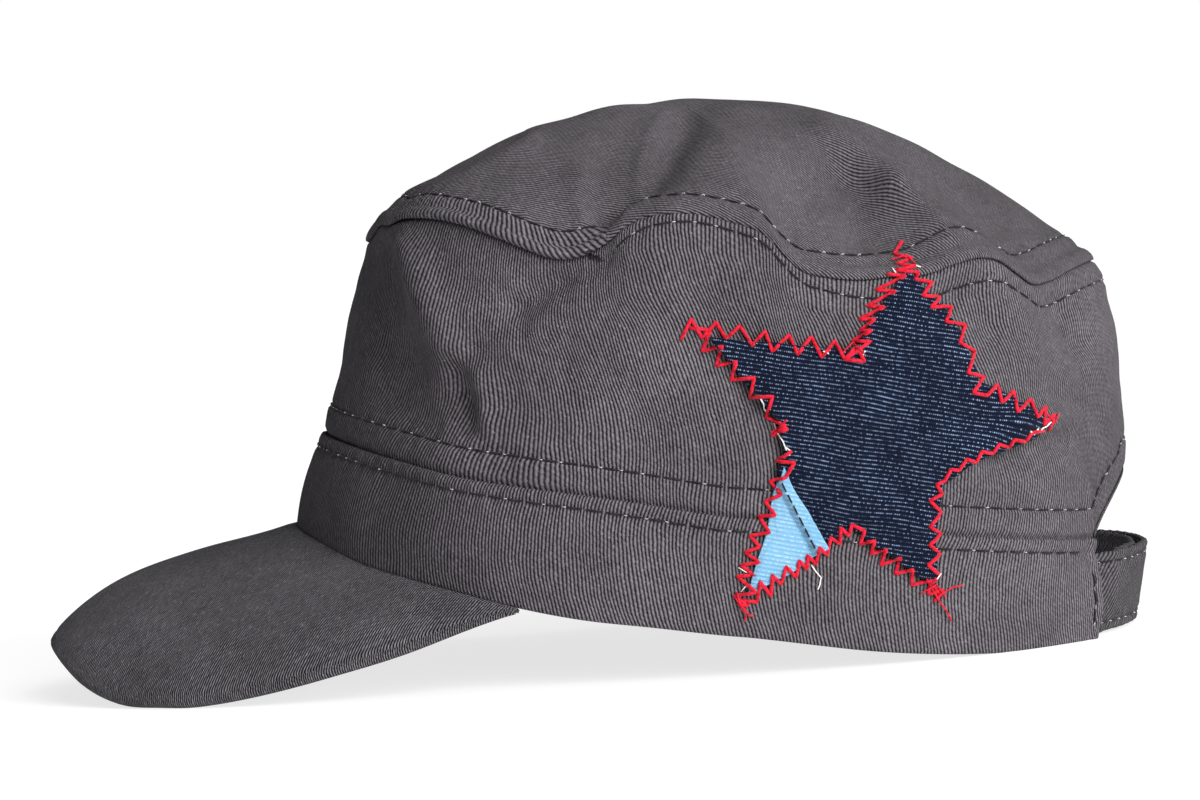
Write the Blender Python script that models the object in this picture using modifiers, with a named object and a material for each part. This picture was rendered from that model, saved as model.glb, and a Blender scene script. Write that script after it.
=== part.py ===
# Cadet cap of washed cotton twill: a soft flat-topped crown on an upright
# band, a short curved peak, a five-point star of denim sewn to the side and
# an adjustable strap across the rear opening.
#
# Metres, +Z up. The peak points to -X and the wearer's left side is -Y. The
# origin is on the surface that the cap rests on, under the middle of the cap.

from collections import namedtuple
from math import atan2, cos, exp, pi, sin, sqrt

import bmesh
import bpy
import numpy as np
from mathutils import Vector
from mathutils.bvhtree import BVHTree

MM = 0.001

# Head opening and crown
HEAD_LENGTH = 201.4 * MM
HEAD_WIDTH = 160.0 * MM
CROWN_HEIGHT = 130.5 * MM
WALL_CLOTH = 1.5 * MM
BAND_CLOTH = 2.0 * MM
SEAM_GAP = 0.45 * MM
BAND_SWELL = 1.2 * MM
WELT_RISE = 2.2 * MM
WELT_SWELL = 0.7 * MM
REAR_SWELL = 3.9 * MM
SIDE_SWELL = 1.5 * MM
WELT_STEP = 1.6 * MM

# Peak
PEAK_REACH = 60.5 * MM
PEAK_THICKNESS = 3.2 * MM
PEAK_TUCK = 1.5 * MM
PEAK_END_WIDTH = 1.6 * MM
PEAK_EDGE_LEAN = 1.3 * MM
PEAK_CROWN = 3.0 * MM
PEAK_TAPER = 16.0 * MM
PEAK_END_THICKNESS = 1.6 * MM
PEAK_HALF_TURN = 0.348
TUCK_GAP = 0.4 * MM

# Rear opening and strap
OPENING_HALF_WIDTH = 49.0 * MM
ARCH_RISE = 15.5 * MM
STRAP_WIDTH = 18.4 * MM
STRAP_CLOTH = 1.6 * MM
STRAP_LIFT = 0.5 * MM
STRAP_TUCK = 9.0 * MM
STRAP_OVERLAP = 33.0 * MM
STRAP_LEAN = 4.0 * MM
STRAP_FREE = 0.75
TAPE_THICKNESS = 0.8 * MM
TAPE_LENGTH = 60.0 * MM
TAPE_DROP = 0.4 * MM
LAYER_GAP = 0.3 * MM

# Star, its centre at a share of CROWN_HEIGHT
STAR_RADIUS = 45.0 * MM
STAR_AHEAD_OF_REAR = 66.7 * MM
STAR_CENTRE_SHARE = 0.387
STAR_CLOTH = 0.9 * MM
STAR_GAP = 0.5 * MM

# Shares that shape the crown: the apex's place along HEAD_LENGTH, the height of
# the point that the folds push away from, how full the top panel is at its
# rear and front, and the factor that brings the wall's fullest point, two
# thirds of the way up, to 1
APEX_SHARE = 0.484
CORE_SHARE = 0.35
REAR_FULLNESS = 2.06
FRONT_FULLNESS = 2.32
SWELL_SCALE = 3.81

# Places that follow from the sizes
FRONT_HEM = (PEAK_REACH - HEAD_LENGTH) / 2
REAR_HEM = FRONT_HEM + HEAD_LENGTH
APEX = FRONT_HEM + APEX_SHARE * HEAD_LENGTH

# Rings around the head, seen from above. Front and rear are shares of
# HEAD_LENGTH that the ring stands in from the hem, and width is a share of
# HEAD_WIDTH. The powers are those of the superellipse that each half follows.
Ring = namedtuple("Ring", "front rear width front_power rear_power")
HEM = Ring(front=0.0, rear=0.0, width=1.0, front_power=2.15, rear_power=2.15)
BAND_SEAM = Ring(front=0.042, rear=0.027, width=1.0, front_power=2.2, rear_power=2.4)
TOP_SEAM = Ring(front=0.109, rear=0.048, width=0.95, front_power=2.25, rear_power=2.3)

# Heights of the hem and of the band seam as shares of CROWN_HEIGHT. Turn goes
# from 0 at the front to 1 at the rear. The hem lies on the table where its
# height is below 0.
Height = namedtuple("Height", "turn hem band_seam")
HEIGHTS = (
    Height(0.0, 0.281, 0.441),
    Height(0.1, 0.264, 0.432),
    Height(0.2, 0.217, 0.407),
    Height(0.3, 0.168, 0.365),
    Height(0.35, 0.138, 0.346),
    Height(0.4, 0.112, 0.327),
    Height(0.5, 0.068, 0.275),
    Height(0.6, 0.020, 0.229),
    Height(0.7, -0.003, 0.199),
    Height(0.8, -0.004, 0.178),
    Height(0.9, -0.004, 0.172),
    Height(1.0, -0.004, 0.168),
)

# Height of the top seam as a share of CROWN_HEIGHT. The left side is pinched
# down at 0.37 of the half turn and steps down again at 0.53.
TopHeight = namedtuple("TopHeight", "turn height")
LEFT_TOP = (
    TopHeight(0.0, 0.788),
    TopHeight(0.10, 0.808),
    TopHeight(0.19, 0.823),
    TopHeight(0.26, 0.808),
    TopHeight(0.31, 0.775),
    TopHeight(0.35, 0.744),
    TopHeight(0.38, 0.744),
    TopHeight(0.41, 0.780),
    TopHeight(0.44, 0.803),
    TopHeight(0.48, 0.795),
    TopHeight(0.515, 0.758),
    TopHeight(0.54, 0.690),
    TopHeight(0.59, 0.667),
    TopHeight(0.65, 0.668),
    TopHeight(0.705, 0.688),
    TopHeight(0.74, 0.672),
    TopHeight(0.79, 0.637),
    TopHeight(0.85, 0.651),
    TopHeight(0.93, 0.664),
    TopHeight(1.0, 0.660),
)
RIGHT_TOP = (
    TopHeight(0.0, 0.788),
    TopHeight(0.15, 0.818),
    TopHeight(0.30, 0.790),
    TopHeight(0.42, 0.778),
    TopHeight(0.55, 0.725),
    TopHeight(0.70, 0.678),
    TopHeight(0.85, 0.662),
    TopHeight(1.0, 0.660),
)

# Folds of the crown, seen from the side. Back is the share of HEAD_LENGTH
# behind the front hem and up is the share of CROWN_HEIGHT, for both ends of
# the fold. Width is a share of HEAD_WIDTH, depth is a share of CROWN_HEIGHT
# and is negative for a hollow. Side is -1 for the left and 1 for the right. The
# folds fade out towards the middle plane, over FOLD_FADE_SHARE of HEAD_WIDTH.
FOLD_FADE_SHARE = 0.2
Fold = namedtuple("Fold", "side back_a up_a back_b up_b width depth")
FOLDS = (
    # Front facet and the hollows in front of it
    Fold(-1, 0.155, 0.78, 0.190, 0.60, 0.055, 0.016),
    Fold(-1, 0.090, 0.72, 0.135, 0.52, 0.065, -0.022),
    Fold(-1, 0.175, 0.47, 0.250, 0.44, 0.060, -0.012),
    # Pinch that runs from the top panel down over the wall
    Fold(-1, 0.375, 0.735, 0.285, 0.655, 0.045, -0.026),
    Fold(-1, 0.455, 0.80, 0.330, 0.66, 0.060, 0.012),
    Fold(-1, 0.365, 0.78, 0.365, 0.88, 0.050, 0.016),
    Fold(-1, 0.410, 0.80, 0.500, 0.96, 0.060, -0.026),
    # Wide hollows of the wall
    Fold(-1, 0.235, 0.55, 0.330, 0.53, 0.090, -0.012),
    Fold(-1, 0.430, 0.48, 0.540, 0.45, 0.110, -0.010),
    # Puff of the top panel, the ridge behind it and the hollow between them
    Fold(-1, 0.520, 0.90, 0.580, 0.86, 0.110, 0.014),
    Fold(-1, 0.665, 0.82, 0.700, 0.76, 0.060, -0.030),
    Fold(-1, 0.680, 0.90, 0.775, 0.72, 0.055, 0.012),
    Fold(-1, 0.800, 0.84, 0.870, 0.74, 0.070, -0.010),
    # Hollows under the rear of the top seam, and the crumple over the opening
    Fold(-1, 0.775, 0.62, 0.800, 0.56, 0.060, -0.012),
    Fold(-1, 0.895, 0.60, 0.905, 0.52, 0.065, -0.018),
    Fold(-1, 0.865, 0.35, 0.920, 0.37, 0.055, -0.012),
    # Softer hollows and swells of the right side
    Fold(1, 0.130, 0.70, 0.180, 0.50, 0.080, -0.015),
    Fold(1, 0.340, 0.74, 0.300, 0.60, 0.080, -0.016),
    Fold(1, 0.520, 0.88, 0.620, 0.84, 0.120, 0.012),
    Fold(1, 0.640, 0.68, 0.620, 0.56, 0.090, -0.014),
    Fold(1, 0.780, 0.80, 0.840, 0.72, 0.080, 0.008),
    Fold(1, 0.880, 0.60, 0.900, 0.48, 0.080, -0.016),
)

# Height of the lower edge of the peak's outline as a share of PEAK_REACH, by
# the share of the half outline from the tip to the corner. The edge lies on
# the table where its height is below 0.
EdgeHeight = namedtuple("EdgeHeight", "share height")
PEAK_EDGE = (
    EdgeHeight(0.0, 0.185),
    EdgeHeight(0.10, 0.172),
    EdgeHeight(0.20, 0.120),
    EdgeHeight(0.28, 0.060),
    EdgeHeight(0.36, 0.014),
    EdgeHeight(0.43, -0.004),
    EdgeHeight(0.50, -0.008),
    EdgeHeight(0.57, -0.008),
    EdgeHeight(0.62, 0.003),
    EdgeHeight(0.70, 0.033),
    EdgeHeight(0.80, 0.089),
    EdgeHeight(0.90, 0.163),
    EdgeHeight(1.0, 0.278),
)
PEAK_POWER = 2.4

# Brings the fullest point of the peak's arch, two thirds of the way out, to 1
ARCH_SCALE = 6.75

# Corners of the hand-cut star. Angle is in degrees from the rear, through up,
# and reach is a share of STAR_RADIUS.
Corner = namedtuple("Corner", "name angle reach")
STAR_CORNERS = (
    Corner("top tip", 73.0, 0.84),
    Corner("top rear notch", 27.5, 0.58),
    Corner("rear tip", 1.5, 0.93),
    Corner("bottom rear notch", 326.0, 0.39),
    Corner("bottom rear tip", 288.5, 0.84),
    Corner("bottom notch", 250.5, 0.47),
    Corner("bottom front tip", 227.0, 1.05),
    Corner("front notch", 178.0, 0.45),
    Corner("front tip", 145.0, 1.00),
    Corner("top front notch", 96.0, 0.43),
)
# Ends of the line where the pale corner of the star starts
PALE_LINE_FRONT = (-0.50, -0.10)
PALE_LINE_REAR = (-0.29, -0.53)

# Mesh steps
WALL_STEPS = 84
WALL_ROWS = 9
TOP_ROWS = 6
BAND_STEPS = 64
BAND_ROWS = 3
PEAK_STEPS = 36
PEAK_ROWS = 6
STRAP_STEPS = 20
STRAP_ROWS = 2
STAR_CUTS = 5


# Shapes as functions

def smooth(rows, column, place):
    """Value of a table's column at a place, on a smooth curve through its rows."""
    places = [row[0] for row in rows]
    values = [getattr(row, column) for row in rows]
    slopes = np.gradient(values, places)
    place = min(max(place, places[0]), places[-1])
    at = min(int(np.searchsorted(places, place, side="right")) - 1, len(rows) - 2)
    span = places[at + 1] - places[at]
    t = (place - places[at]) / span
    start = values[at] * (1 + 2 * t) + slopes[at] * span * t
    end = values[at + 1] * (3 - 2 * t) + slopes[at + 1] * span * (t - 1)
    return start * (1 - t) ** 2 + end * t ** 2


def ease(share):
    """Smooth step from 0 to 1."""
    share = min(1.0, max(0.0, share))
    return share * share * (3 - 2 * share)


def power_of(value, exponent):
    """Signed power, for superellipses."""
    return abs(value) ** exponent if value > 0 else -abs(value) ** exponent


def ring_place(ring, turn):
    """Place on a ring seen from above. Turn runs from -1 to 1, with 0 at the front."""
    front = FRONT_HEM + ring.front * HEAD_LENGTH
    rear = REAR_HEM - ring.rear * HEAD_LENGTH
    power = ring.front_power if abs(turn) < 0.5 else ring.rear_power
    across = power_of(sin(pi * turn), 2 / power)
    along = power_of(cos(pi * turn), 2 / power)
    x = (front + rear) / 2 - along * (rear - front) / 2
    y = -across * ring.width * HEAD_WIDTH / 2
    return x, y


def ring_outward(ring, turn):
    """Level direction that points straight out of a ring."""
    step = 0.002
    before = Vector((*ring_place(ring, turn - step), 0))
    after = Vector((*ring_place(ring, turn + step), 0))
    along = (after - before).normalized()
    return Vector((along.y, -along.x, 0))


def ring_turn(ring, half_width):
    """Turn at which the rear half of a ring is this far from the middle plane."""
    across = (half_width / (ring.width * HEAD_WIDTH / 2)) ** (ring.rear_power / 2)
    return 1 - atan2(across, sqrt(1 - across ** 2)) / pi


def hem_point(turn):
    x, y = ring_place(HEM, turn)
    return Vector((x, y, CROWN_HEIGHT * smooth(HEIGHTS, "hem", abs(turn))))


def band_seam_point(turn):
    x, y = ring_place(BAND_SEAM, turn)
    return Vector((x, y, CROWN_HEIGHT * smooth(HEIGHTS, "band_seam", abs(turn))))


def top_seam_point(turn):
    x, y = ring_place(TOP_SEAM, turn)
    rows = LEFT_TOP if turn > 0 else RIGHT_TOP
    return Vector((x, y, CROWN_HEIGHT * smooth(rows, "height", abs(turn))))


def fold_depth(point):
    """How far the folds push a point of the crown out of its smooth form."""
    back = (point.x - FRONT_HEM) / HEAD_LENGTH
    up = point.z / CROWN_HEIGHT
    total = 0.0
    for fold in FOLDS:
        side_share = min(1.0, max(0.0, fold.side * point.y / (FOLD_FADE_SHARE * HEAD_WIDTH)))
        run = Vector(((fold.back_b - fold.back_a) * HEAD_LENGTH, (fold.up_b - fold.up_a) * CROWN_HEIGHT))
        away = Vector(((back - fold.back_a) * HEAD_LENGTH, (up - fold.up_a) * CROWN_HEIGHT))
        share = min(1.0, max(0.0, away.dot(run) / run.length_squared))
        distance = (away - run * share).length / (fold.width * HEAD_WIDTH)
        total += side_share * fold.depth * CROWN_HEIGHT * exp(-distance ** 2)
    return total


def folded(point):
    """The point moved by the folds, away from the middle of the crown."""
    outward = Vector((
        (point.x - APEX) / (HEAD_LENGTH / 2) ** 2,
        point.y / (HEAD_WIDTH / 2) ** 2,
        (point.z - CORE_SHARE * CROWN_HEIGHT) / CROWN_HEIGHT ** 2,
    ))
    return point + outward.normalized() * fold_depth(point)


def band_point(turn, level):
    """Outer face of the band, level 0 at the hem and 1 at the band seam."""
    point = hem_point(turn).lerp(band_seam_point(turn), level)
    point += ring_outward(HEM, turn) * BAND_SWELL * 4 * level * (1 - level)
    return point.lerp(folded(point), level)


def wall_point(turn, level):
    """Outer face of the crown's wall, level 0 at the band seam and 1 at the top seam."""
    point = band_seam_point(turn).lerp(top_seam_point(turn), level)
    swell = SWELL_SCALE * level ** 1.4 * (1 - level) ** 0.7
    rear_share = max(0.0, -cos(pi * turn)) ** 2
    point.x += swell * REAR_SWELL * rear_share
    point.y -= swell * SIDE_SWELL * sin(pi * turn)
    return folded(point)


def top_point(turn, reach):
    """Outer face of the top panel, reach 0 at its middle and 1 at its edge."""
    edge = top_seam_point(turn) - ring_outward(TOP_SEAM, turn) * WELT_STEP
    edge.z += WELT_RISE
    frontness = (1 + cos(pi * turn)) / 2
    power = REAR_FULLNESS + (FRONT_FULLNESS - REAR_FULLNESS) * frontness
    x = APEX + (edge.x - APEX) * reach
    y = edge.y * reach
    z = CROWN_HEIGHT + (edge.z - CROWN_HEIGHT) * reach ** power
    return folded(Vector((x, y, z)))


def welt_point(turn, row):
    """Rolled edge of the top panel: row 0 at the seam, 1 at its fullest and 2 at its top."""
    if row == 2:
        return top_point(turn, 1.0)
    seam = wall_point(turn, 1.0)
    if row == 0:
        return seam + Vector((0, 0, SEAM_GAP))
    return seam + ring_outward(TOP_SEAM, turn) * WELT_SWELL + Vector((0, 0, (SEAM_GAP + WELT_RISE) / 2))


def opening_level(turn):
    """Level of the wall's lower edge, which rises in an arch over the rear opening."""
    x, y = ring_place(BAND_SEAM, turn)
    if abs(turn) < 0.5 or abs(y) >= OPENING_HALF_WIDTH:
        return 0.0
    arch = (1 - (abs(y) / OPENING_HALF_WIDTH) ** 3) ** (1 / 3)
    seam = band_seam_point(turn)
    return ARCH_RISE * arch / (top_seam_point(turn).z - seam.z)


# Building helpers

def material(name, colour, roughness):
    made = bpy.data.materials.new(name)
    made.use_nodes = True
    shader = made.node_tree.nodes["Principled BSDF"]
    shader.inputs["Base Color"].default_value = (*colour, 1.0)
    shader.inputs["Roughness"].default_value = roughness
    shader.inputs["Metallic"].default_value = 0.0
    return made


def grid_mesh(columns, rows, place):
    """Grid of columns by rows steps, each point put where place(column, row) says."""
    mesh = bmesh.new()
    bmesh.ops.create_grid(mesh, x_segments=columns, y_segments=rows, size=0.5)
    for vertex in mesh.verts:
        column = round((vertex.co.x + 0.5) * columns)
        row = round((vertex.co.y + 0.5) * rows)
        vertex.co = place(column, row)
    bmesh.ops.remove_doubles(mesh, verts=mesh.verts, dist=0.00005)
    bmesh.ops.recalc_face_normals(mesh, faces=mesh.faces)
    return mesh


def cloth_piece(name, mesh, thickness, finish, outside, thickness_share=None):
    """Gives an open sheet its thickness inwards and presses it flat on the table."""
    lean = sum(face.normal.dot(outside(face.calc_center_median())) for face in mesh.faces)
    if lean < 0:
        bmesh.ops.reverse_faces(mesh, faces=mesh.faces)
    sheet = bpy.data.meshes.new(name)
    mesh.to_mesh(sheet)
    mesh.free()
    piece = bpy.data.objects.new(name, sheet)
    cap_parts.objects.link(piece)
    wall = piece.modifiers.new("cloth thickness", "SOLIDIFY")
    wall.thickness = thickness
    wall.offset = -1.0
    if thickness_share:
        shares = piece.vertex_groups.new(name="thickness share")
        for vertex in sheet.vertices:
            shares.add([vertex.index], thickness_share(vertex.co), "REPLACE")
        wall.vertex_group = shares.name
    evaluated = piece.evaluated_get(bpy.context.evaluated_depsgraph_get())
    piece.data = bpy.data.meshes.new_from_object(evaluated)
    piece.data.name = name
    piece.modifiers.clear()
    bpy.data.meshes.remove(sheet)
    for vertex in piece.data.vertices:
        vertex.co.z = max(vertex.co.z, 0.0)
    piece.data.shade_smooth()
    piece.data.set_sharp_from_angle(angle=pi / 4)
    piece.data.materials.clear()
    piece.data.materials.append(finish)


def from_middle(point):
    """Outwards for a piece that goes round the crown."""
    return Vector((point.x - APEX, point.y, point.z - CROWN_HEIGHT / 2))


def downwards(point):
    return Vector((0, 0, -1))


def leftwards(point):
    return Vector((0, -1, 0))


# Sub-parts

def crown_top():
    """Top panel with its rolled edge standing on the top seam."""
    rings = TOP_ROWS + 3

    def place(column, row):
        turn = 2 * column / WALL_STEPS - 1
        if row < 3:
            return welt_point(turn, row)
        return top_point(turn, (rings - row) / (TOP_ROWS + 1))

    mesh = grid_mesh(WALL_STEPS, rings, place)
    cloth_piece("crown_top", mesh, WALL_CLOTH, grey_twill, from_middle)


def crown_wall():
    """Side of the crown, one ring from the band seam and the rear arch to the top seam."""
    def place(column, row):
        turn = 2 * column / WALL_STEPS - 1
        low = opening_level(turn)
        level = low + (1 - low) * row / WALL_ROWS
        point = wall_point(turn, level)
        if row == 0:
            point.z += SEAM_GAP / 2
        return point

    mesh = grid_mesh(WALL_STEPS, WALL_ROWS, place)
    cloth_piece("crown_wall", mesh, WALL_CLOTH, grey_twill, from_middle)


def band():
    """Upright strip around the head, open at the rear."""
    hem_end = ring_turn(HEM, OPENING_HALF_WIDTH)
    seam_end = ring_turn(BAND_SEAM, OPENING_HALF_WIDTH)

    def place(column, row):
        level = row / BAND_ROWS
        end = hem_end + (seam_end - hem_end) * level
        point = band_point(end * (2 * column / BAND_STEPS - 1), level)
        if row == BAND_ROWS:
            point.z -= SEAM_GAP / 2
        return point

    mesh = grid_mesh(BAND_STEPS, BAND_ROWS, place)
    cloth_piece("band", mesh, BAND_CLOTH, grey_twill, from_middle)


def peak():
    """Stiff curved peak, its inner edge tucked under the front of the band."""
    corner = hem_point(PEAK_HALF_TURN)
    reach = corner.x - FRONT_HEM + PEAK_REACH - PEAK_EDGE_LEAN
    half_width = -corner.y + PEAK_END_WIDTH
    end_share = PEAK_END_THICKNESS / PEAK_THICKNESS

    def thickness_share(point):
        """Full over most of the peak, thinner towards its two ends."""
        taper = ease((point.x - corner.x) / PEAK_TAPER + 1)
        return 1 + (end_share - 1) * taper

    def place(column, row):
        share = 2 * column / PEAK_STEPS - 1
        turn = share * PEAK_HALF_TURN
        seat = hem_point(turn)
        seat.z -= TUCK_GAP + PEAK_THICKNESS * thickness_share(seat)
        if row == 0:
            return seat - ring_outward(HEM, turn) * PEAK_TUCK - Vector((0, 0, PEAK_TUCK / 2))
        along = power_of(cos(pi / 2 * share), 2 / PEAK_POWER)
        across = power_of(sin(pi / 2 * share), 2 / PEAK_POWER)
        edge = Vector((corner.x - reach * along, -half_width * across, 0))
        edge.z = PEAK_REACH * smooth(PEAK_EDGE, "height", abs(share))
        out = (row - 1) / (PEAK_ROWS - 1)
        point = seat.lerp(edge, out)
        point.z += ARCH_SCALE * out ** 2 * (1 - out) * PEAK_CROWN * along
        return point

    mesh = grid_mesh(PEAK_STEPS, PEAK_ROWS, place)
    cloth_piece("peak", mesh, PEAK_THICKNESS, peak_twill, downwards, thickness_share)


def strap_strip(name, start, end, side, layer, low, thickness, finish):
    """Flat strip that runs round the rear, out from inside the band to its layer."""
    band_end = ring_turn(HEM, OPENING_HALF_WIDTH)
    free_end = ring_turn(HEM, STRAP_FREE * OPENING_HALF_WIDTH)
    band_lean = (HEM.rear - BAND_SEAM.rear) * HEAD_LENGTH

    def place(column, row):
        turn = start + (end - start) * column / STRAP_STEPS
        level = row / STRAP_ROWS
        share = ease((turn - band_end) / (free_end - band_end))
        tucked = BAND_CLOTH + LAYER_GAP - band_lean * level
        free = layer + STRAP_LEAN * (1 - level)
        inset = tucked + (free - tucked) * share
        point = Vector((*ring_place(HEM, turn), low + STRAP_WIDTH * level))
        point -= ring_outward(HEM, turn) * inset
        point.y *= side
        return point

    mesh = grid_mesh(STRAP_STEPS, STRAP_ROWS, place)
    cloth_piece(name, mesh, thickness, finish, from_middle)


def straps():
    """Left and right straps with the fastening tape between them."""
    start = ring_turn(HEM, OPENING_HALF_WIDTH) - STRAP_TUCK / HEAD_LENGTH
    past_rear = 2 - ring_turn(HEM, STRAP_OVERLAP)
    tape_start = ring_turn(HEM, TAPE_LENGTH / 2)
    tape_layer = STRAP_CLOTH + LAYER_GAP
    inner_layer = tape_layer + TAPE_THICKNESS + LAYER_GAP
    strap_strip("strap_left", start, past_rear, 1, 0.0, STRAP_LIFT, STRAP_CLOTH, grey_twill)
    strap_strip("strap_right", start, past_rear, -1, inner_layer, STRAP_LIFT, STRAP_CLOTH, grey_twill)
    strap_strip("strap_tape", tape_start, 2 - tape_start, 1, tape_layer, STRAP_LIFT - TAPE_DROP,
                TAPE_THICKNESS, black_tape)


def star_sheet(crown_surface, keep_pale):
    """One of the star's two cloths, laid on the side of the crown."""
    mesh = bmesh.new()
    bmesh.ops.create_circle(
        mesh, cap_ends=True, cap_tris=True, segments=len(STAR_CORNERS), radius=STAR_RADIUS)
    rim = [v for v in mesh.verts if v.co.length > STAR_RADIUS / 2]
    rim.sort(key=lambda v: atan2(v.co.y, v.co.x))
    corners = sorted(STAR_CORNERS, key=lambda corner: (corner.angle + 180) % 360)
    for vertex, corner in zip(rim, corners):
        angle = corner.angle * pi / 180
        vertex.co = STAR_RADIUS * corner.reach * Vector((cos(angle), sin(angle), 0))
    bmesh.ops.subdivide_edges(mesh, edges=mesh.edges, cuts=STAR_CUTS, use_grid_fill=True)
    front = STAR_RADIUS * Vector((*PALE_LINE_FRONT, 0))
    rear = STAR_RADIUS * Vector((*PALE_LINE_REAR, 0))
    away = Vector((front.y - rear.y, rear.x - front.x, 0)).normalized()
    keep = -away if keep_pale else away
    bmesh.ops.bisect_plane(mesh, geom=mesh.verts[:] + mesh.edges[:] + mesh.faces[:], dist=0.00001,
                           plane_co=front + keep * LAYER_GAP / 2, plane_no=keep, clear_inner=True)
    bmesh.ops.triangulate(mesh, faces=mesh.faces)
    centre_x = REAR_HEM - STAR_AHEAD_OF_REAR
    centre_z = STAR_CENTRE_SHARE * CROWN_HEIGHT
    for vertex in mesh.verts:
        beside = Vector((centre_x + vertex.co.x, -HEAD_WIDTH, centre_z + vertex.co.y))
        hit, normal, _, _ = crown_surface.ray_cast(beside, Vector((0, 1, 0)))
        outward = normal if normal.y < 0 else -normal
        vertex.co = hit + outward * (STAR_GAP + STAR_CLOTH)
    return mesh


def crown_skin():
    """Outer face of the left side in one surface, hanging on below the hem and up to the apex."""
    rows = (
        [lambda turn: hem_point(turn) - Vector((0, 0, STAR_RADIUS))]
        + [lambda turn, at=at: band_point(turn, at / BAND_ROWS) for at in range(BAND_ROWS)]
        + [lambda turn, at=at: wall_point(turn, at / WALL_ROWS) for at in range(WALL_ROWS)]
        + [lambda turn, at=at: welt_point(turn, at) for at in range(3)]
        + [lambda turn: top_point(turn, 0.0)]
    )

    def place(column, row):
        return rows[row](column / WALL_STEPS)

    skin = grid_mesh(WALL_STEPS, len(rows) - 1, place)
    surface = BVHTree.FromBMesh(skin)
    skin.free()
    return surface


def star():
    """Dark and pale denim cloths of the star."""
    surface = crown_skin()
    dark = star_sheet(surface, keep_pale=False)
    pale = star_sheet(surface, keep_pale=True)
    cloth_piece("star_patch", dark, STAR_CLOTH, dark_denim, leftwards)
    cloth_piece("star_patch_corner", pale, STAR_CLOTH, pale_denim, leftwards)


# The cap

for leftover in list(bpy.data.objects):
    bpy.data.objects.remove(leftover, do_unlink=True)

cap_parts = bpy.data.collections.new("cadet_cap")
bpy.context.scene.collection.children.link(cap_parts)

grey_twill = material("grey washed twill", (0.105, 0.098, 0.107), 0.92)
peak_twill = material("peak twill", (0.078, 0.073, 0.080), 0.92)
dark_denim = material("dark denim", (0.012, 0.020, 0.042), 0.88)
pale_denim = material("pale denim", (0.34, 0.56, 0.74), 0.88)
black_tape = material("fastening tape", (0.006, 0.006, 0.006), 0.80)

crown_wall()
crown_top()
band()
peak()
straps()
star()
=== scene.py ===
# %% [markdown]
# # A cadet cap, dressed in cloth
# This lesson puts real cloth around the solids of a soft cadet cap. The solids
# have its main form. Here each of its pieces is made again as a fine sheet
# with its folds, seams and stitches, and each finish is built from nodes.
# Lengths are in metres, Z points up, the peak points to -X and the wearer's
# left side, which carries the star, is -Y.

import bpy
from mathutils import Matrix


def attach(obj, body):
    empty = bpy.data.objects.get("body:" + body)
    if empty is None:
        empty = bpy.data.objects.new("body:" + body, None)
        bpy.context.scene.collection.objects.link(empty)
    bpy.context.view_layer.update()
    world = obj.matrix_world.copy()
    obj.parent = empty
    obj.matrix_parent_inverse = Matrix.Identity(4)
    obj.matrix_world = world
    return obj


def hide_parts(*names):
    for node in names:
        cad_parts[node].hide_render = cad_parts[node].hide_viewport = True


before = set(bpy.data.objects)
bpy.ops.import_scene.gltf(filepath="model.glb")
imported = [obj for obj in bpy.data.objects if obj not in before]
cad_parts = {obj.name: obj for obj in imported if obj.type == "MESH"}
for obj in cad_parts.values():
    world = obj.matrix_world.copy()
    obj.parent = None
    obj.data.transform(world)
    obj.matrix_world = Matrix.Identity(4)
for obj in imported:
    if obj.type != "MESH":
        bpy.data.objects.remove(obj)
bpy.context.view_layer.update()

# %% Modules and units
from collections import namedtuple
from math import atan2, ceil, cos, floor, pi, radians, sin, sqrt

import bmesh
import bpy
import numpy as np
from mathutils import Matrix, Vector
from mathutils.bvhtree import BVHTree

MM = 0.001

# %% [markdown]
# ## Camera
# The cap was seen from its left side, from a little above and with a long
# lens, and the view leans by a few degrees. A camera can be aimed by a Track To
# constraint, but a lean is easier to give as three directions in a matrix.

# %% Camera at the angle of the photograph
VIEW_TARGET = Vector((3.6, 0.0, 60.7)) * MM
VIEW_DISTANCE = 1200 * MM
VIEW_DOWN = radians(2.3)
VIEW_LEAN = radians(4.1)
LENS = 151.2

ahead = Vector((0, cos(VIEW_DOWN), -sin(VIEW_DOWN)))
level_up = Vector((0, sin(VIEW_DOWN), cos(VIEW_DOWN)))
camera_right = Vector((1, 0, 0)) * cos(VIEW_LEAN) - level_up * sin(VIEW_LEAN)
camera_up = level_up * cos(VIEW_LEAN) + Vector((1, 0, 0)) * sin(VIEW_LEAN)
camera_data = bpy.data.cameras.new("side view")
camera_data.lens = LENS
camera_data.sensor_width = 36
camera = bpy.data.objects.new("side view", camera_data)
bpy.context.scene.collection.objects.link(camera)
turned = Matrix((camera_right, camera_up, -ahead)).transposed()
camera.matrix_world = Matrix.Translation(VIEW_TARGET - ahead * VIEW_DISTANCE) @ turned.to_4x4()
bpy.context.scene.camera = camera
print("Camera at", [round(x, 3) for x in camera.location])

# %% [markdown]
# ## The form of the crown
# A cap is a few flat cuts sewn round an oval. Sculpting it by hand would lose
# the places of its seams, so its surfaces are functions here: an oval ring for
# each seam, its height from a short table, and the cloth spanned in between.
# All functions take arrays, so that a whole sheet is placed at once.

# %% Sizes of the crown, the peak's reach and the rear opening
HEAD_LENGTH = 201.4 * MM
HEAD_WIDTH = 160.0 * MM
CROWN_HEIGHT = 130.5 * MM
PEAK_REACH = 60.5 * MM
# How far the cloth swells out between its seams, and what brings the wall's curve to 1 where it is fullest
BAND_SWELL = 1.2 * MM
REAR_SWELL = 3.9 * MM
SIDE_SWELL = 1.5 * MM
SWELL_SCALE = 3.81
# Step from the top of the wall over the turned edge to the top panel
WELT_RISE = 2.2 * MM
WELT_STEP = 1.6 * MM
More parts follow.
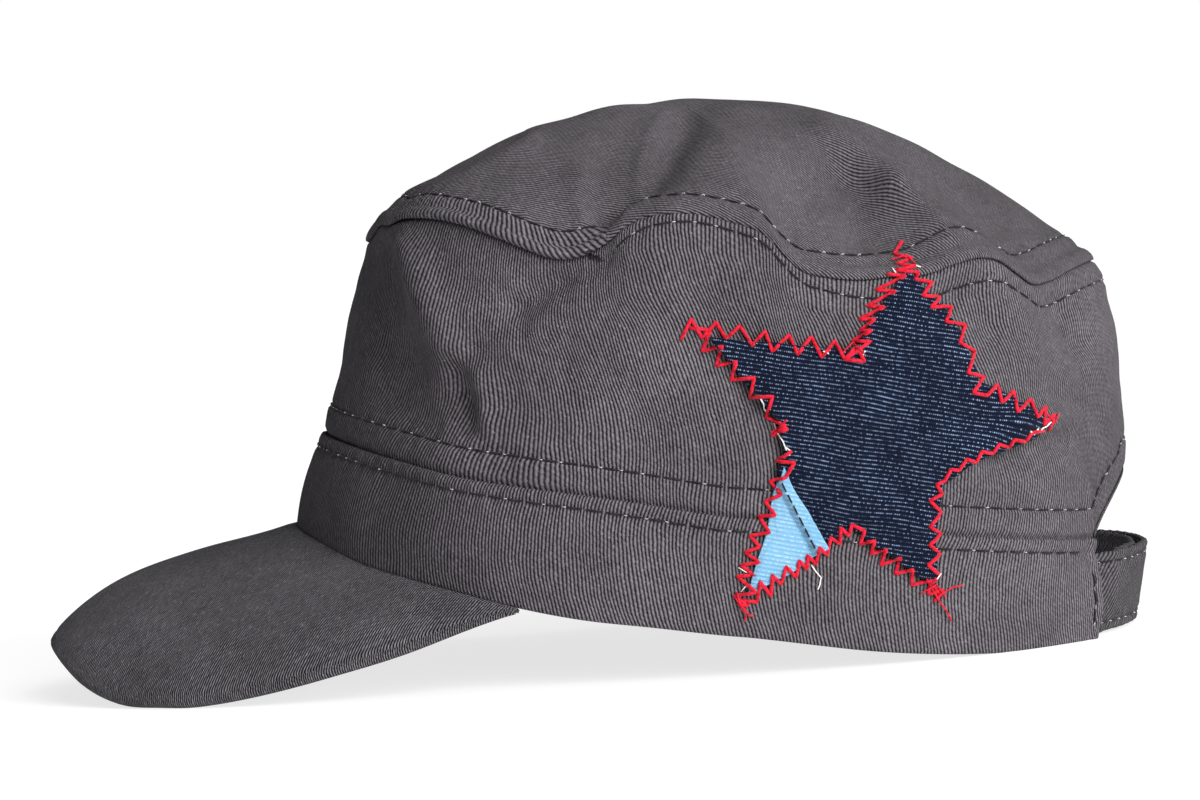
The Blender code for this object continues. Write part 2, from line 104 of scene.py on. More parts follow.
# The highest point along the head, and the height of the middle that the folds push away from
APEX_SHARE = 0.484
CORE_SHARE = 0.35
# Powers of the top's curve: the larger the power, the flatter its middle
REAR_FULLNESS = 2.06
FRONT_FULLNESS = 2.32
# The opening at the rear and the arch over it
OPENING_HALF_WIDTH = 49.0 * MM
ARCH_RISE = 15.5 * MM

FRONT_HEM = (PEAK_REACH - HEAD_LENGTH) / 2
REAR_HEM = FRONT_HEM + HEAD_LENGTH
APEX = FRONT_HEM + APEX_SHARE * HEAD_LENGTH
print("The hem runs from", round(FRONT_HEM / MM, 1), "to", round(REAR_HEM / MM, 1), "mm along X")

# %% Rings seen from above, as shares of the head's length and width
# Front and rear say how far a ring lies inside the hem. Powers above 2 give an oval fuller corners.
Ring = namedtuple("Ring", "front rear width front_power rear_power")
HEM = Ring(0.0, 0.0, 1.0, 2.15, 2.15)
BAND_SEAM = Ring(0.042, 0.027, 1.0, 2.2, 2.4)
TOP_SEAM = Ring(0.109, 0.048, 0.95, 2.25, 2.3)

# %% A table whose columns have names
def table(kind, *rows):
    """Rows of one kind, so that a column can be asked for by its name."""
    return tuple(kind(*row) for row in rows)

# %% Heights of the seams as shares of the crown's height, by the turn from the front (0) to the rear (1)
Height = namedtuple("Height", "turn hem band_seam")
HEIGHTS = table(
    Height,
    (0.0, 0.281, 0.445), (0.1, 0.264, 0.435), (0.2, 0.217, 0.405), (0.3, 0.168, 0.363),
    (0.35, 0.138, 0.345), (0.4, 0.112, 0.326), (0.45, 0.092, 0.302), (0.5, 0.068, 0.273),
    (0.6, 0.020, 0.228), (0.7, -0.003, 0.199), (0.8, -0.004, 0.179), (0.9, -0.004, 0.172),
    (1.0, -0.004, 0.168),
)
TopHeight = namedtuple("TopHeight", "turn height")
LEFT_TOP = table(
    TopHeight,
    (0.0, 0.788), (0.08, 0.803), (0.115, 0.816), (0.145, 0.813), (0.172, 0.821), (0.20, 0.8234),
    (0.225, 0.8214), (0.272, 0.804), (0.301, 0.784), (0.334, 0.758), (0.353, 0.744), (0.372, 0.740),
    (0.391, 0.750), (0.407, 0.768), (0.420, 0.790), (0.436, 0.802), (0.457, 0.803), (0.482, 0.794),
    (0.502, 0.775), (0.517, 0.752), (0.528, 0.718), (0.540, 0.690), (0.558, 0.676), (0.586, 0.667),
    (0.611, 0.668), (0.648, 0.668), (0.674, 0.680), (0.707, 0.688), (0.728, 0.682), (0.755, 0.658),
    (0.782, 0.637), (0.814, 0.639), (0.857, 0.653), (0.939, 0.664), (1.0, 0.660),
)
RIGHT_TOP = table(
    TopHeight,
    (0.0, 0.788), (0.15, 0.818), (0.30, 0.790), (0.42, 0.778), (0.55, 0.725), (0.70, 0.678), (0.85, 0.662),
    (1.0, 0.660),
)

# %% Values along a table, on a smooth curve through its rows
def smooth(rows, column, place):
    """Value of a table's column at each place, on a smooth curve through its rows."""
    places = np.array([row[0] for row in rows])
    values = np.array([getattr(row, column) for row in rows])
    slopes = np.gradient(values, places)
    place = np.clip(place, places[0], places[-1])
    at = np.clip(np.searchsorted(places, place, side="right") - 1, 0, len(rows) - 2)
    span = places[at + 1] - places[at]
    t = (place - places[at]) / span
    start = values[at] * (1 + 2 * t) + slopes[at] * span * t
    end = values[at + 1] * (3 - 2 * t) + slopes[at + 1] * span * (t - 1)
    return start * (1 - t) ** 2 + end * t ** 2


def ease(share):
    """A smooth step from 0 to 1."""
    share = np.clip(share, 0.0, 1.0)
    return share * share * (3 - 2 * share)


def bell(distance, width):
    """1 at no distance, and next to nothing at twice the width."""
    return np.exp(-(distance / width) ** 2)


def power_of(value, exponent):
    """A power that keeps the sign."""
    return np.sign(value) * np.abs(value) ** exponent


def stack(x, y, z):
    """Points from arrays of their coordinates."""
    return np.stack(np.broadcast_arrays(x, y, z), axis=-1)

# %% Places on the rings
def ring_place(ring, turn):
    """X and Y on a ring; turn is 0 at the front, 1 at the rear, and negative on the right side."""
    front = FRONT_HEM + ring.front * HEAD_LENGTH
    rear = REAR_HEM - ring.rear * HEAD_LENGTH
    power = np.where(np.abs(turn) < 0.5, ring.front_power, ring.rear_power)
    across = power_of(np.sin(pi * turn), 2 / power)
    along = power_of(np.cos(pi * turn), 2 / power)
    return (front + rear) / 2 - along * (rear - front) / 2, -across * ring.width * HEAD_WIDTH / 2


def ring_outward(ring, turn):
    """Level direction out of a ring, at right angles to it."""
    step = 0.002
    before = stack(*ring_place(ring, turn - step), 0.0)
    after = stack(*ring_place(ring, turn + step), 0.0)
    along = after - before
    along /= np.linalg.norm(along, axis=-1, keepdims=True)
    return stack(along[..., 1], -along[..., 0], 0.0)


def ring_turn(ring, half_width):
    """Turn at the rear of a ring where it is half_width away from the middle plane."""
    across = (half_width / (ring.width * HEAD_WIDTH / 2)) ** (ring.rear_power / 2)
    return 1 - atan2(across, sqrt(1 - across ** 2)) / pi


def ring_point(ring, turn, rows, column):
    """Points of a ring at the height that a table gives for each turn."""
    return stack(*ring_place(ring, turn), CROWN_HEIGHT * smooth(rows, column, np.abs(turn)))


def hem_point(turn):
    return ring_point(HEM, turn, HEIGHTS, "hem")


def band_seam_point(turn):
    return ring_point(BAND_SEAM, turn, HEIGHTS, "band_seam")


def top_seam_point(turn):
    """Points of the top seam, which is higher and lower in other places on each side."""
    left = ring_point(TOP_SEAM, turn, LEFT_TOP, "height")
    right = ring_point(TOP_SEAM, turn, RIGHT_TOP, "height")
    return np.where(np.asarray(turn)[..., None] > 0, left, right)

# %% [markdown]
# ## Large folds
# A soft cap keeps the folds it was last handled with. They could be sculpted or
# taken from a cloth simulation, but then they would not sit where the
# photograph has them. So each fold is a line in the side view with a width and
# a depth, and it moves all the cloth near it, across the seams too.

# %% Large folds: side (-1 is the left), both ends, width and depth, all as shares of the crown
Fold = namedtuple("Fold", "side back_a up_a back_b up_b width depth")
FOLD_FADE = 0.2
FOLDS = table(
    Fold,
    (-1, 0.155, 0.78, 0.190, 0.60, 0.055, 0.016), (-1, 0.090, 0.72, 0.135, 0.52, 0.065, -0.022),
    (-1, 0.175, 0.47, 0.250, 0.44, 0.060, -0.012), (-1, 0.375, 0.735, 0.285, 0.655, 0.045, -0.026),
    (-1, 0.455, 0.80, 0.330, 0.66, 0.060, 0.012), (-1, 0.365, 0.78, 0.365, 0.88, 0.050, 0.016),
    (-1, 0.410, 0.80, 0.500, 0.96, 0.060, -0.026), (-1, 0.235, 0.55, 0.330, 0.53, 0.090, -0.012),
    (-1, 0.430, 0.48, 0.540, 0.45, 0.110, -0.010), (-1, 0.520, 0.90, 0.580, 0.86, 0.110, 0.014),
    (-1, 0.665, 0.82, 0.700, 0.76, 0.060, -0.030), (-1, 0.680, 0.90, 0.775, 0.72, 0.055, 0.012),
    (-1, 0.800, 0.84, 0.870, 0.74, 0.070, -0.010), (-1, 0.775, 0.62, 0.800, 0.56, 0.060, -0.012),
    (-1, 0.895, 0.60, 0.905, 0.52, 0.065, -0.018), (-1, 0.865, 0.35, 0.920, 0.37, 0.055, -0.012),
    (1, 0.130, 0.70, 0.180, 0.50, 0.080, -0.015), (1, 0.340, 0.74, 0.300, 0.60, 0.080, -0.016),
    (1, 0.520, 0.88, 0.620, 0.84, 0.120, 0.012), (1, 0.640, 0.68, 0.620, 0.56, 0.090, -0.014),
    (1, 0.780, 0.80, 0.840, 0.72, 0.080, 0.008), (1, 0.880, 0.60, 0.900, 0.48, 0.080, -0.016),
)


def segment_distance(x, z, a, b):
    """Distance in the side view from each point to the line from a to b."""
    run = np.array([b[0] - a[0], b[1] - a[1]])
    share = np.clip(((x - a[0]) * run[0] + (z - a[1]) * run[1]) / (run @ run), 0, 1)
    return np.hypot(x - a[0] - run[0] * share, z - a[1] - run[1] * share)


def folded(points):
    """The points moved by the large folds, away from the middle of the crown."""
    x, y, z = points[..., 0], points[..., 1], points[..., 2]
    total = 0.0
    for fold in FOLDS:
        a = FRONT_HEM + fold.back_a * HEAD_LENGTH, fold.up_a * CROWN_HEIGHT
        b = FRONT_HEM + fold.back_b * HEAD_LENGTH, fold.up_b * CROWN_HEIGHT
        side = np.clip(fold.side * y / (FOLD_FADE * HEAD_WIDTH), 0, 1)
        away = segment_distance(x, z, a, b)
        total = total + side * fold.depth * CROWN_HEIGHT * bell(away, fold.width * HEAD_WIDTH)
    outward = stack((x - APEX) / (HEAD_LENGTH / 2) ** 2, y / (HEAD_WIDTH / 2) ** 2,
                    (z - CORE_SHARE * CROWN_HEIGHT) / CROWN_HEIGHT ** 2)
    outward /= np.linalg.norm(outward, axis=-1, keepdims=True)
    return points + outward * np.asarray(total)[..., None]

# %% Surfaces of the band, wall and top panel
def blend_points(a, b, share):
    """Points on the way from a (share 0) to b (share 1)."""
    return a + (b - a) * np.asarray(share)[..., None]


def band_point(turn, level):
    """Points of the band; level is 0 at the hem and 1 at its upper seam."""
    point = blend_points(hem_point(turn), band_seam_point(turn), level)
    point = point + ring_outward(HEM, turn) * (BAND_SWELL * 4 * level * (1 - level))[..., None]
    return blend_points(point, folded(point), level)


def wall_point(turn, level):
    """Points of the wall; level is 0 at the band's seam and 1 at the top seam."""
    point = blend_points(band_seam_point(turn), top_seam_point(turn), level)
    # These powers make it fullest at two thirds of its height
    swell = SWELL_SCALE * np.maximum(level, 0) ** 1.4 * np.maximum(1 - level, 0) ** 0.7
    rear_share = np.maximum(0.0, -np.cos(pi * turn)) ** 2
    point[..., 0] += swell * REAR_SWELL * rear_share
    point[..., 1] -= swell * SIDE_SWELL * np.sin(pi * turn)
    return folded(point)


def top_point(turn, reach):
    """Points of the top panel; reach is 1 at its edge and 0 at the highest point."""
    edge = top_seam_point(turn) - ring_outward(TOP_SEAM, turn) * WELT_STEP
    edge[..., 2] += WELT_RISE
    frontness = (1 + np.cos(pi * turn)) / 2
    power = REAR_FULLNESS + (FRONT_FULLNESS - REAR_FULLNESS) * frontness
    x = APEX + (edge[..., 0] - APEX) * reach
    z = CROWN_HEIGHT + (edge[..., 2] - CROWN_HEIGHT) * reach ** power
    return folded(stack(x, edge[..., 1] * reach, z))

# %% [markdown]
# ## From a function to a sheet of cloth
# A flat cut has two faces and a thin edge. A Solidify modifier gives a sheet its
# thickness with square edges, while washed cloth has round ones, so the grid
# itself runs up the outer face, over the round edge and down the inner face.
# The inner face needs fewer rows, as little of it shows. The vertices of a grid
# primitive are then put in their places row by row, and those that meet are
# merged. A closed oval such as the top panel ends in a pole on both faces.

# %% Helpers that select, merge and finish a mesh
def activate(piece):
    """Selects one piece and nothing else, as operators act on all that is selected."""
    bpy.ops.object.select_all(action="DESELECT")
    piece.select_set(True)
    bpy.context.view_layer.objects.active = piece


def triangles(piece):
    return sum(len(face.vertices) - 2 for face in piece.data.polygons)


def grid_primitive(name, points, uv=None):
    """A grid primitive whose vertices are put at points[row, column]."""
    rows, columns = points.shape[0] - 1, points.shape[1] - 1
    bpy.ops.object.select_all(action="DESELECT")
    bpy.ops.mesh.primitive_grid_add(x_subdivisions=columns, y_subdivisions=rows, size=1)
    piece = bpy.context.active_object
    piece.name = piece.data.name = name
    piece.data.vertices.foreach_set("co", points.reshape(-1).astype(np.float32))
    if uv is not None:
        corner = np.zeros(len(piece.data.loops), np.int32)
        piece.data.loops.foreach_get("vertex_index", corner)
        piece.data.uv_layers.active.data.foreach_set("uv", uv.reshape(-1, 2)[corner].reshape(-1))
    piece.data.update()
    return piece


def recut(piece, faces, uv):
    """Gives the marked faces of a grid another UV, as if cut from another part of the cloth."""
    corner = np.zeros(len(piece.data.loops), np.int32)
    piece.data.loops.foreach_get("vertex_index", corner)
    spread = np.zeros(len(corner) * 2)
    layer = piece.data.uv_layers.active.data
    layer.foreach_get("uv", spread)
    marked = np.repeat(faces.reshape(-1), 4)
    other = uv.reshape(-1, 2)[corner[:len(marked)]]
    spread = spread.reshape(-1, 2)
    spread[:len(marked)][marked] = other[marked]
    layer.foreach_set("uv", spread.reshape(-1))


def merge(piece, distance=0.02 * MM):
    """Merges vertices that meet, deletes loose ones and turns all faces outwards."""
    activate(piece)
    bpy.ops.object.mode_set(mode="EDIT")
    bpy.ops.mesh.select_all(action="SELECT")
    bpy.ops.mesh.remove_doubles(threshold=distance)
    bpy.ops.mesh.delete_loose()
    bpy.ops.mesh.select_all(action="SELECT")
    bpy.ops.mesh.normals_make_consistent(inside=False)
    bpy.ops.object.mode_set(mode="OBJECT")


def finish_cloth(piece, finish):
    """Smooth shading, a finish and its place on the cap's one body."""
    for vertex in piece.data.vertices:
        vertex.co.z = max(vertex.co.z, 0.0)
    piece.data.shade_smooth()
    piece.data.materials.clear()
    piece.data.materials.append(finish)
    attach(piece, "root")
    print(piece.name, triangles(piece), "triangles")

# %% Normals and lengths over a grid of points
def grid_normals(points, closed):
    """Unit normals of a grid, which point to the right of the rows' run."""
    along = np.gradient(points, axis=1)
    if closed:
        along[:, 0] = along[:, -1] = points[:, 1] - points[:, -2]
    up = np.gradient(points, axis=0)
    normal = np.cross(along, up)
    length = np.linalg.norm(normal, axis=-1, keepdims=True)
    return normal / np.maximum(length, 1e-12)


def run_lengths(points, axis):
    """Length run along the grid from its first row or column, at every point."""
    steps = np.linalg.norm(np.diff(points, axis=axis), axis=-1)
    total = np.cumsum(steps, axis=axis)
    return np.concatenate([np.zeros_like(np.take(total, [0], axis)), total], axis=axis)

# %% A closed shell of cloth with round edges
# The inner face has each third row, and all rows near the edges
INNER_EVERY = 3
EDGE_ROWS = 4


def shell(name, points, thickness, uv, closed, finish, pole=False, recuts=()):
    """Sheet whose outer face is the grid of points, with the cloth's thickness inside it."""
    normal = grid_normals(points, closed)
    from_start = run_lengths(points, 0)
    edge = from_start if pole else np.minimum(from_start, from_start[-1:] - from_start)
    if pole:
        normal[-1] = normal[-2].mean(axis=0)
    if not closed:
        across = run_lengths(points, 1)
        edge = np.minimum(edge, np.minimum(across, across[:, -1:] - across))
    reach = np.clip(edge / (thickness / 2), 0, 1)
    half = np.sqrt(1 - (1 - reach) ** 2)[..., None] * thickness / 2
    middle = points - normal * thickness / 2
    rows = points.shape[0]
    every = INNER_EVERY if closed else 1
    last = rows - 1 if pole else rows - 2
    near_edge = [row for row in range(rows) if row < EDGE_ROWS or row >= rows - EDGE_ROWS]
    inner = [row for row in range(last, -1, -1) if row in near_edge or row % every == 0]
    grid = np.concatenate([middle + normal * half, (middle - normal * half)[inner]])
    piece = grid_primitive(name, grid, np.concatenate([uv, uv[inner]]))
    for faces, other in recuts:
        recut(piece, faces, other)
    merge(piece)
    finish_cloth(piece, finish)
    return piece

# %% [markdown]
# ## Washed cotton twill
# Twill is woven so that its threads step sideways by one at each row, which
# gives fine slanting ribs. An image of cloth would be quicker, but it repeats
# and it fits no seam, so the weave is built from nodes. They read a UV map in
# millimetres: U runs across the ribs and V along them, so each piece can turn
# its ribs as it was cut. Dyed, washed cotton is matt. Its rib tops are worn pale
# in long, uneven lines while its grooves stay dark, specks of pale lint lie on
# them, and washing leaves soft lighter and darker areas. The front of the crown
# is painted darker, as painted shade.

# %% Colours and nodes
def colour(hex_code):
    """Linear colour from an sRGB hex code."""
    channels = [int(hex_code[i:i + 2], 16) / 255 for i in (1, 3, 5)]
    linear = [c / 12.92 if c <= 0.04045 else ((c + 0.055) / 1.055) ** 2.4 for c in channels]
    return (*linear, 1.0)


def add_node(tree, kind, inputs=None, out=0, **settings):
    """Adds a node with its settings, gives its sockets a value or a link, and returns an output."""
    node = tree.nodes.new("ShaderNode" + kind)
    for name, value in settings.items():
        setattr(node, name, value)
    for name, value in (inputs or {}).items():
        if isinstance(value, bpy.types.NodeSocket):
            tree.links.new(value, node.inputs[name])
        else:
            node.inputs[name].default_value = value
    return node.outputs[out]


def set_stops(ramp, *stops):
    """Places and hex codes of a colour ramp's two stops."""
    for stop, (place, code) in zip(ramp.node.color_ramp.elements, stops):
        stop.position, stop.color = place, colour(code)


def new_material(name, roughness):
    """An empty material, its tree and its shader."""
    made = bpy.data.materials.new(name)
    made.use_nodes = True
    tree = made.node_tree
    shader = tree.nodes["Principled BSDF"]
    shader.inputs["Roughness"].default_value = roughness
    # Cloth, thread and paper are matt, so hardly any of a smooth surface's gloss is left
    shader.inputs["Specular IOR Level"].default_value = 0.08
    return made, tree, shader

# %% Twill finish: lengths in millimetres of the UV map
# The ribs of the real cloth are about 1 mm apart. Drawn at 0.87 mm they look alike in the picture.
RIB_PITCH = 0.87
RIB_DRIFT = 2.4
FLOAT_LENGTH = 1.3
FLOAT_STEP = 0.37
RIB_HEIGHT = 0.42 * MM
# X range of the painted shade on the front of the crown: fullest in front of the first, none behind the
# second
PAINTED_SHADE_FRONT = (-45.0 * MM, -20.0 * MM)


def twill_material(name, dark, pale, front_shade_tone=1.0, groove=0.08):
    """Ribs from dark grooves to pale tops; a tone below 1 darkens the front of the crown as painted shade.
    """
    made, tree, shader = new_material(name, 0.9)
    uv = add_node(tree, "TexCoord", out="UV")
    place = add_node(tree, "TexCoord", out="Object")
    across = add_node(tree, "SeparateXYZ", {0: uv})
    along = across.node.outputs[1]
    # Round ribs that drift a little, as no cloth is woven or sewn quite straight
    drift = add_node(tree, "TexNoise", {"Vector": uv, "Scale": 0.07, "Detail": 2.0})
    drifted = add_node(tree, "Math", {0: drift, 1: RIB_DRIFT, 2: across}, operation="MULTIPLY_ADD")
    ribs = add_node(tree, "Math", {0: drifted, 1: RIB_PITCH}, operation="DIVIDE")
    rib_index = add_node(tree, "Math", {0: ribs}, operation="FLOOR")
    within = add_node(tree, "Math", {0: ribs}, operation="FRACT")
    angle = add_node(tree, "Math", {0: within, 1: pi}, operation="MULTIPLY")
    rib = add_node(tree, "Math", {0: angle}, operation="SINE")
    crest = add_node(tree, "Math", {0: rib, 1: 1.5}, operation="POWER")
    # Floats: each rib is a chain of short yarns, and every next rib's chain starts a step later
    step = add_node(tree, "Math", {0: rib_index, 1: FLOAT_STEP}, operation="MULTIPLY")
    floats = add_node(tree, "Math", {0: along, 1: 1 / FLOAT_LENGTH, 2: step}, operation="MULTIPLY_ADD")
    float_angle = add_node(tree, "Math", {0: floats, 1: 2 * pi}, operation="MULTIPLY")
    float_wave = add_node(tree, "Math", {0: float_angle}, operation="SINE")
    # Wear: long uneven lines, different on each rib, fuzz of fibres, and lint
    apart = add_node(tree, "Math", {0: rib_index, 1: 5.3}, operation="MULTIPLY")
    yarn_place = add_node(tree, "CombineXYZ", {0: apart, 1: along})
    yarn = add_node(tree, "TexNoise", {"Vector": yarn_place, "Scale": 0.55, "Detail": 3.0, "Roughness": 0.6})
    fuzz = add_node(tree, "TexNoise", {"Vector": uv, "Scale": 2.4, "Detail": 4.0, "Roughness": 0.7})
    lint = add_node(tree, "TexNoise", {"Vector": uv, "Scale": 1.1, "Detail": 1.0})
    specks = add_node(tree, "MapRange", {"Value": lint, "From Min": 0.62, "From Max": 0.74, "To Max": 0.4})
    bright = add_node(tree, "Math", {0: crest, 1: 0.66, 2: -0.47}, operation="MULTIPLY_ADD")
    for part, share in ((yarn, 0.62), (fuzz, 0.55), (float_wave, 0.07)):
        bright = add_node(tree, "Math", {0: part, 1: share, 2: bright}, operation="MULTIPLY_ADD")
    bright = add_node(tree, "Math", {0: bright, 1: specks}, operation="ADD")
    ramp = add_node(tree, "ValToRGB", {"Fac": bright})
    set_stops(ramp, (groove, dark), (0.92, pale))
    # Washing: soft areas of about two centimetres, and painted shade that darkens the front of the crown
    wash = add_node(tree, "TexNoise", {"Vector": place, "Scale": 45.0, "Detail": 5.0, "Roughness": 0.62})
    shade = add_node(tree, "MapRange", {"Value": wash, "From Min": 0.3, "From Max": 0.7,
                                        "To Min": 0.80, "To Max": 1.16})
    # Painted shade: the colour grows darker towards the front of the crown, down to the given tone
    from_front = add_node(tree, "SeparateXYZ", {0: place})
    front = add_node(tree, "MapRange", {"Value": from_front, "From Min": PAINTED_SHADE_FRONT[0],
                                        "From Max": PAINTED_SHADE_FRONT[1], "To Min": front_shade_tone, "To Max": 1.0})
    wash_and_painted_shade = add_node(tree, "Math", {0: shade, 1: front}, operation="MULTIPLY")
    worn = add_node(tree, "VectorMath", {0: ramp, "Scale": wash_and_painted_shade}, operation="SCALE")
    tree.links.new(worn, shader.inputs["Base Color"])
    # Relief of the ribs, their floats and the fuzz
    woven = add_node(tree, "Math", {0: float_wave, 1: 0.10, 2: rib}, operation="MULTIPLY_ADD")
    raised = add_node(tree, "Math", {0: fuzz, 1: 0.45, 2: woven}, operation="MULTIPLY_ADD")
    bump = add_node(tree, "Bump", {"Strength": 0.9, "Distance": RIB_HEIGHT, "Height": raised})
    tree.links.new(bump, shader.inputs["Normal"])
    shader.inputs["Sheen Weight"].default_value = 0.03
    shader.inputs["Sheen Roughness"].default_value = 0.5
    return made

# %% The three twills of the cap
# Crown and band: washed until the rib tops are pale, so they look chalky on a nearly black ground, and
# darkened at the front by painted shade
grey_twill = twill_material("washed grey twill", "#060507", "#7a757b", 0.62)
# Straps: the same cloth with darker rib tops, as painted shade, so it looks darker and more even
strap_twill_with_painted_shade = twill_material("washed grey twill of the straps, darkened as painted shade", "#070607", "#656166")
# Peak: the same cloth with wider dark grooves, so its ribs look like fine broken lines
peak_twill = twill_material("washed grey twill of the peak", "#060507", "#7a777c", groove=0.26)
print("Ribs every", RIB_PITCH, "mm")

# %% [markdown]
# ## The wall of the crown
# One long strip makes the side of the crown. It is sewn to the band below and
# to the top panel above. Its upper edge is turned in and goes up under the
# panel's lip, and its lower edge is turned in behind the band. A displaced
# texture could crumple it, but not at a wanted place. So folds and creases are
# added along the surface's own normal: each is a line in the side view, a width
# and a depth.

# %% Smooth random ripples
WAVES = 24


def ripple(points, wavelength, seed):
    """Smooth random relief of height about 1, the same at each run."""
    chance = np.random.default_rng(seed)
    way = chance.normal(size=(WAVES, 3))
    length = wavelength * chance.uniform(0.7, 1.5, WAVES)
    way *= (2 * pi / length / np.linalg.norm(way, axis=1))[:, None]
    phase = chance.uniform(0, 2 * pi, WAVES)
    return np.sin(points @ way.T + phase).sum(-1) / sqrt(WAVES / 2)

# %% Creases of the wall: x and z of both ends, width and depth in millimetres, a hollow below 0
Crease = namedtuple("Crease", "x1 z1 x2 z2 width depth")
LEFT_CREASES = table(
    Crease,
    # Front facet and the crumple behind the front
    (-39.6, 105.0, -30.4, 78.0, 3.4, 1.5), (-46.0, 102.0, -40.0, 72.0, 5.0, -1.3),
    (-43.3, 66.0, -35.2, 60.0, 4.0, -0.8), (-53.0, 88.0, -50.0, 74.0, 3.5, 0.5),
    (-30.5, 80.0, -27.0, 66.0, 3.5, -0.6),
    # Pocket low on the front of the wall
    (-28.6, 70.2, -26.5, 60.0, 2.6, -1.25), (-23.0, 71.0, -22.5, 60.0, 2.8, 0.8),
    (-14.0, 73.0, -26.0, 71.0, 4.0, 0.5),
    # Pinch from the top seam down over the wall
    (6.4, 96.2, -13.9, 85.5, 2.2, -0.9), (-12.0, 84.0, -24.0, 77.0, 4.5, -0.7),
    (4.0, 88.0, -18.0, 78.0, 4.5, 0.6), (9.0, 97.0, 22.0, 88.0, 4.0, 0.4),
    # Wide wall
    (-5.0, 68.8, -22.0, 72.0, 6.0, -0.6), (12.0, 72.0, 26.0, 62.0, 7.0, 0.5),
    (2.0, 60.0, -14.0, 52.0, 5.0, 0.4),
    # Under the rear of the top seam
    (86.3, 80.0, 92.0, 74.0, 3.5, -0.8), (110.2, 78.0, 113.0, 68.0, 3.5, -1.2),
    (100.0, 77.0, 104.0, 66.0, 4.5, 0.5), (118.0, 76.0, 119.5, 60.0, 3.0, 0.5),
    # Crumple over the rear opening and below the rear of the star
    (92.7, 45.2, 113.9, 46.0, 2.6, -0.8), (96.0, 50.5, 112.0, 51.0, 3.0, 0.5),
    (108.0, 56.0, 119.0, 50.0, 2.5, -0.6), (111.0, 40.0, 118.0, 44.0, 2.2, -0.5),
    (88.0, 38.0, 106.0, 37.0, 3.0, 0.4),
)
RIGHT_CREASES = table(
    Crease,
    (-44.0, 100.0, -38.0, 74.0, 4.0, -0.8), (-30.0, 98.0, -26.0, 76.0, 4.0, 0.6),
    (0.0, 96.0, -12.0, 74.0, 4.0, -0.8), (8.0, 98.0, 16.0, 80.0, 4.5, 0.6),
    (40.0, 92.0, 30.0, 70.0, 5.0, -0.6), (60.0, 86.0, 66.0, 62.0, 5.0, 0.5),
    (84.0, 82.0, 92.0, 60.0, 4.0, -0.8), (104.0, 78.0, 108.0, 56.0, 4.0, 0.6),
    (92.0, 44.0, 114.0, 48.0, 3.0, -0.7), (-20.0, 60.0, 4.0, 54.0, 4.0, -0.5),
)

# %% Relief of the creases
# All depths of the tables are multiplied by this, which was matched to the photograph
CREASE_SCALE = 1.8
CREASE_FADE = 20 * MM


def creased(points, rows, side):
    """Height of the creases of one side at each point, faded in from the middle plane."""
    x, z = points[..., 0] / MM, points[..., 2] / MM
    total = np.zeros(x.shape)
    for row in rows:
        away = segment_distance(x, z, row[0:2], row[2:4])
        total += CREASE_SCALE * row.depth * MM * bell(away, row.width)
    return total * ease(side * points[..., 1] / CREASE_FADE)


def crease_height(points):
    """Creases of both sides, with two sizes of small ripples."""
    fine = 0.30 * MM * ripple(points, 17 * MM, 5) + 0.10 * MM * ripple(points, 7 * MM, 6)
    return creased(points, LEFT_CREASES, -1) + creased(points, RIGHT_CREASES, 1) + fine

# %% Stitch rows: a narrow furrow, and the cloth gathered a little between the needle holes
STITCH_PITCH = 4.7 * MM
STITCH_DEPTH = 0.50 * MM
GATHER = 0.22 * MM
GATHER_WIDTH = 3.0 * MM


def furrow(distance, along, width=0.8 * MM):
    """Relief of a row of stitches, by the distance from it and the length along it."""
    holes = 0.75 + 0.25 * np.cos(2 * pi * along / STITCH_PITCH)
    gather = GATHER * np.cos(2 * pi * along / STITCH_PITCH) * bell(distance, GATHER_WIDTH)
    return -STITCH_DEPTH * holes * bell(distance, width) + gather


def turned_edge(distance, width, rise, slope=1.6 * MM):
    """Relief of cloth over an edge that is turned in and reaches to width from the seam."""
    return rise * (1 - ease((distance - width) / slope))

# %% Lines of stitches: columns 0 to 2 are the place, 3 to 5 the way outwards, 6 the run
RUN = 6


def seam_line(grid, closed, run, distances, wanted):
    """The line at a wanted distance from a seam, one row for each column of the grid."""
    fields = np.concatenate([grid, grid_normals(grid, closed), run[..., None]], axis=-1)
    line = []
    for column in range(grid.shape[1]):
        known = distances[:, column]
        line.append([np.interp(wanted, known, fields[:, column, field]) for field in range(RUN + 1)])
    return np.array(line)

# %% Rows of the wall: fine near its two seams, wider in the middle
WALL_COLUMNS = 560
WALL_MIDDLE_ROWS = 34
FINE_ROW = 0.8 * MM
FINE_MARGIN = 8.4 * MM
# Rows of stitches, by their distance from the top seam and from the band's seam
WALL_TOP_ROW = 5.6 * MM
LOW_ROW = 6.6 * MM
# How far the edges go on behind the lip and the band, and how deep they lie there
TURNED_IN = 2.4 * MM
TURN_DEPTH = 2.0 * MM
LOW_TURN_DEPTH = 1.5 * MM


def row_places(height):
    """Distances from the lower edge, one array a row, in columns of different height."""
    edge = np.concatenate([[0.0, 0.12 * MM, 0.4 * MM], np.arange(FINE_ROW, FINE_MARGIN, FINE_ROW)])
    places = [np.full(height.shape, d) for d in edge]
    for share in np.linspace(0, 1, WALL_MIDDLE_ROWS + 1):
        places.append(FINE_MARGIN + (height - 2 * FINE_MARGIN) * share)
    places += [height - d for d in edge[::-1]]
    return np.stack(places)


# How much narrower the opening is than its half width at the seam and at the hem
SEAM_REACH = 3.0 * MM
HEM_REACH = 1.0 * MM


def opening_level(turn):
    """Level of the wall's lower edge, which rises in an arch over the opening."""
    x, y = ring_place(BAND_SEAM, turn)
    share = np.clip(np.abs(y) / (OPENING_HALF_WIDTH - SEAM_REACH), 0, 1)
    arch = np.where(np.abs(turn) < 0.5, 0.0, (1 - share ** 2.4) ** 0.75)
    return ARCH_RISE * arch / (top_seam_point(turn)[..., 2] - band_seam_point(turn)[..., 2])


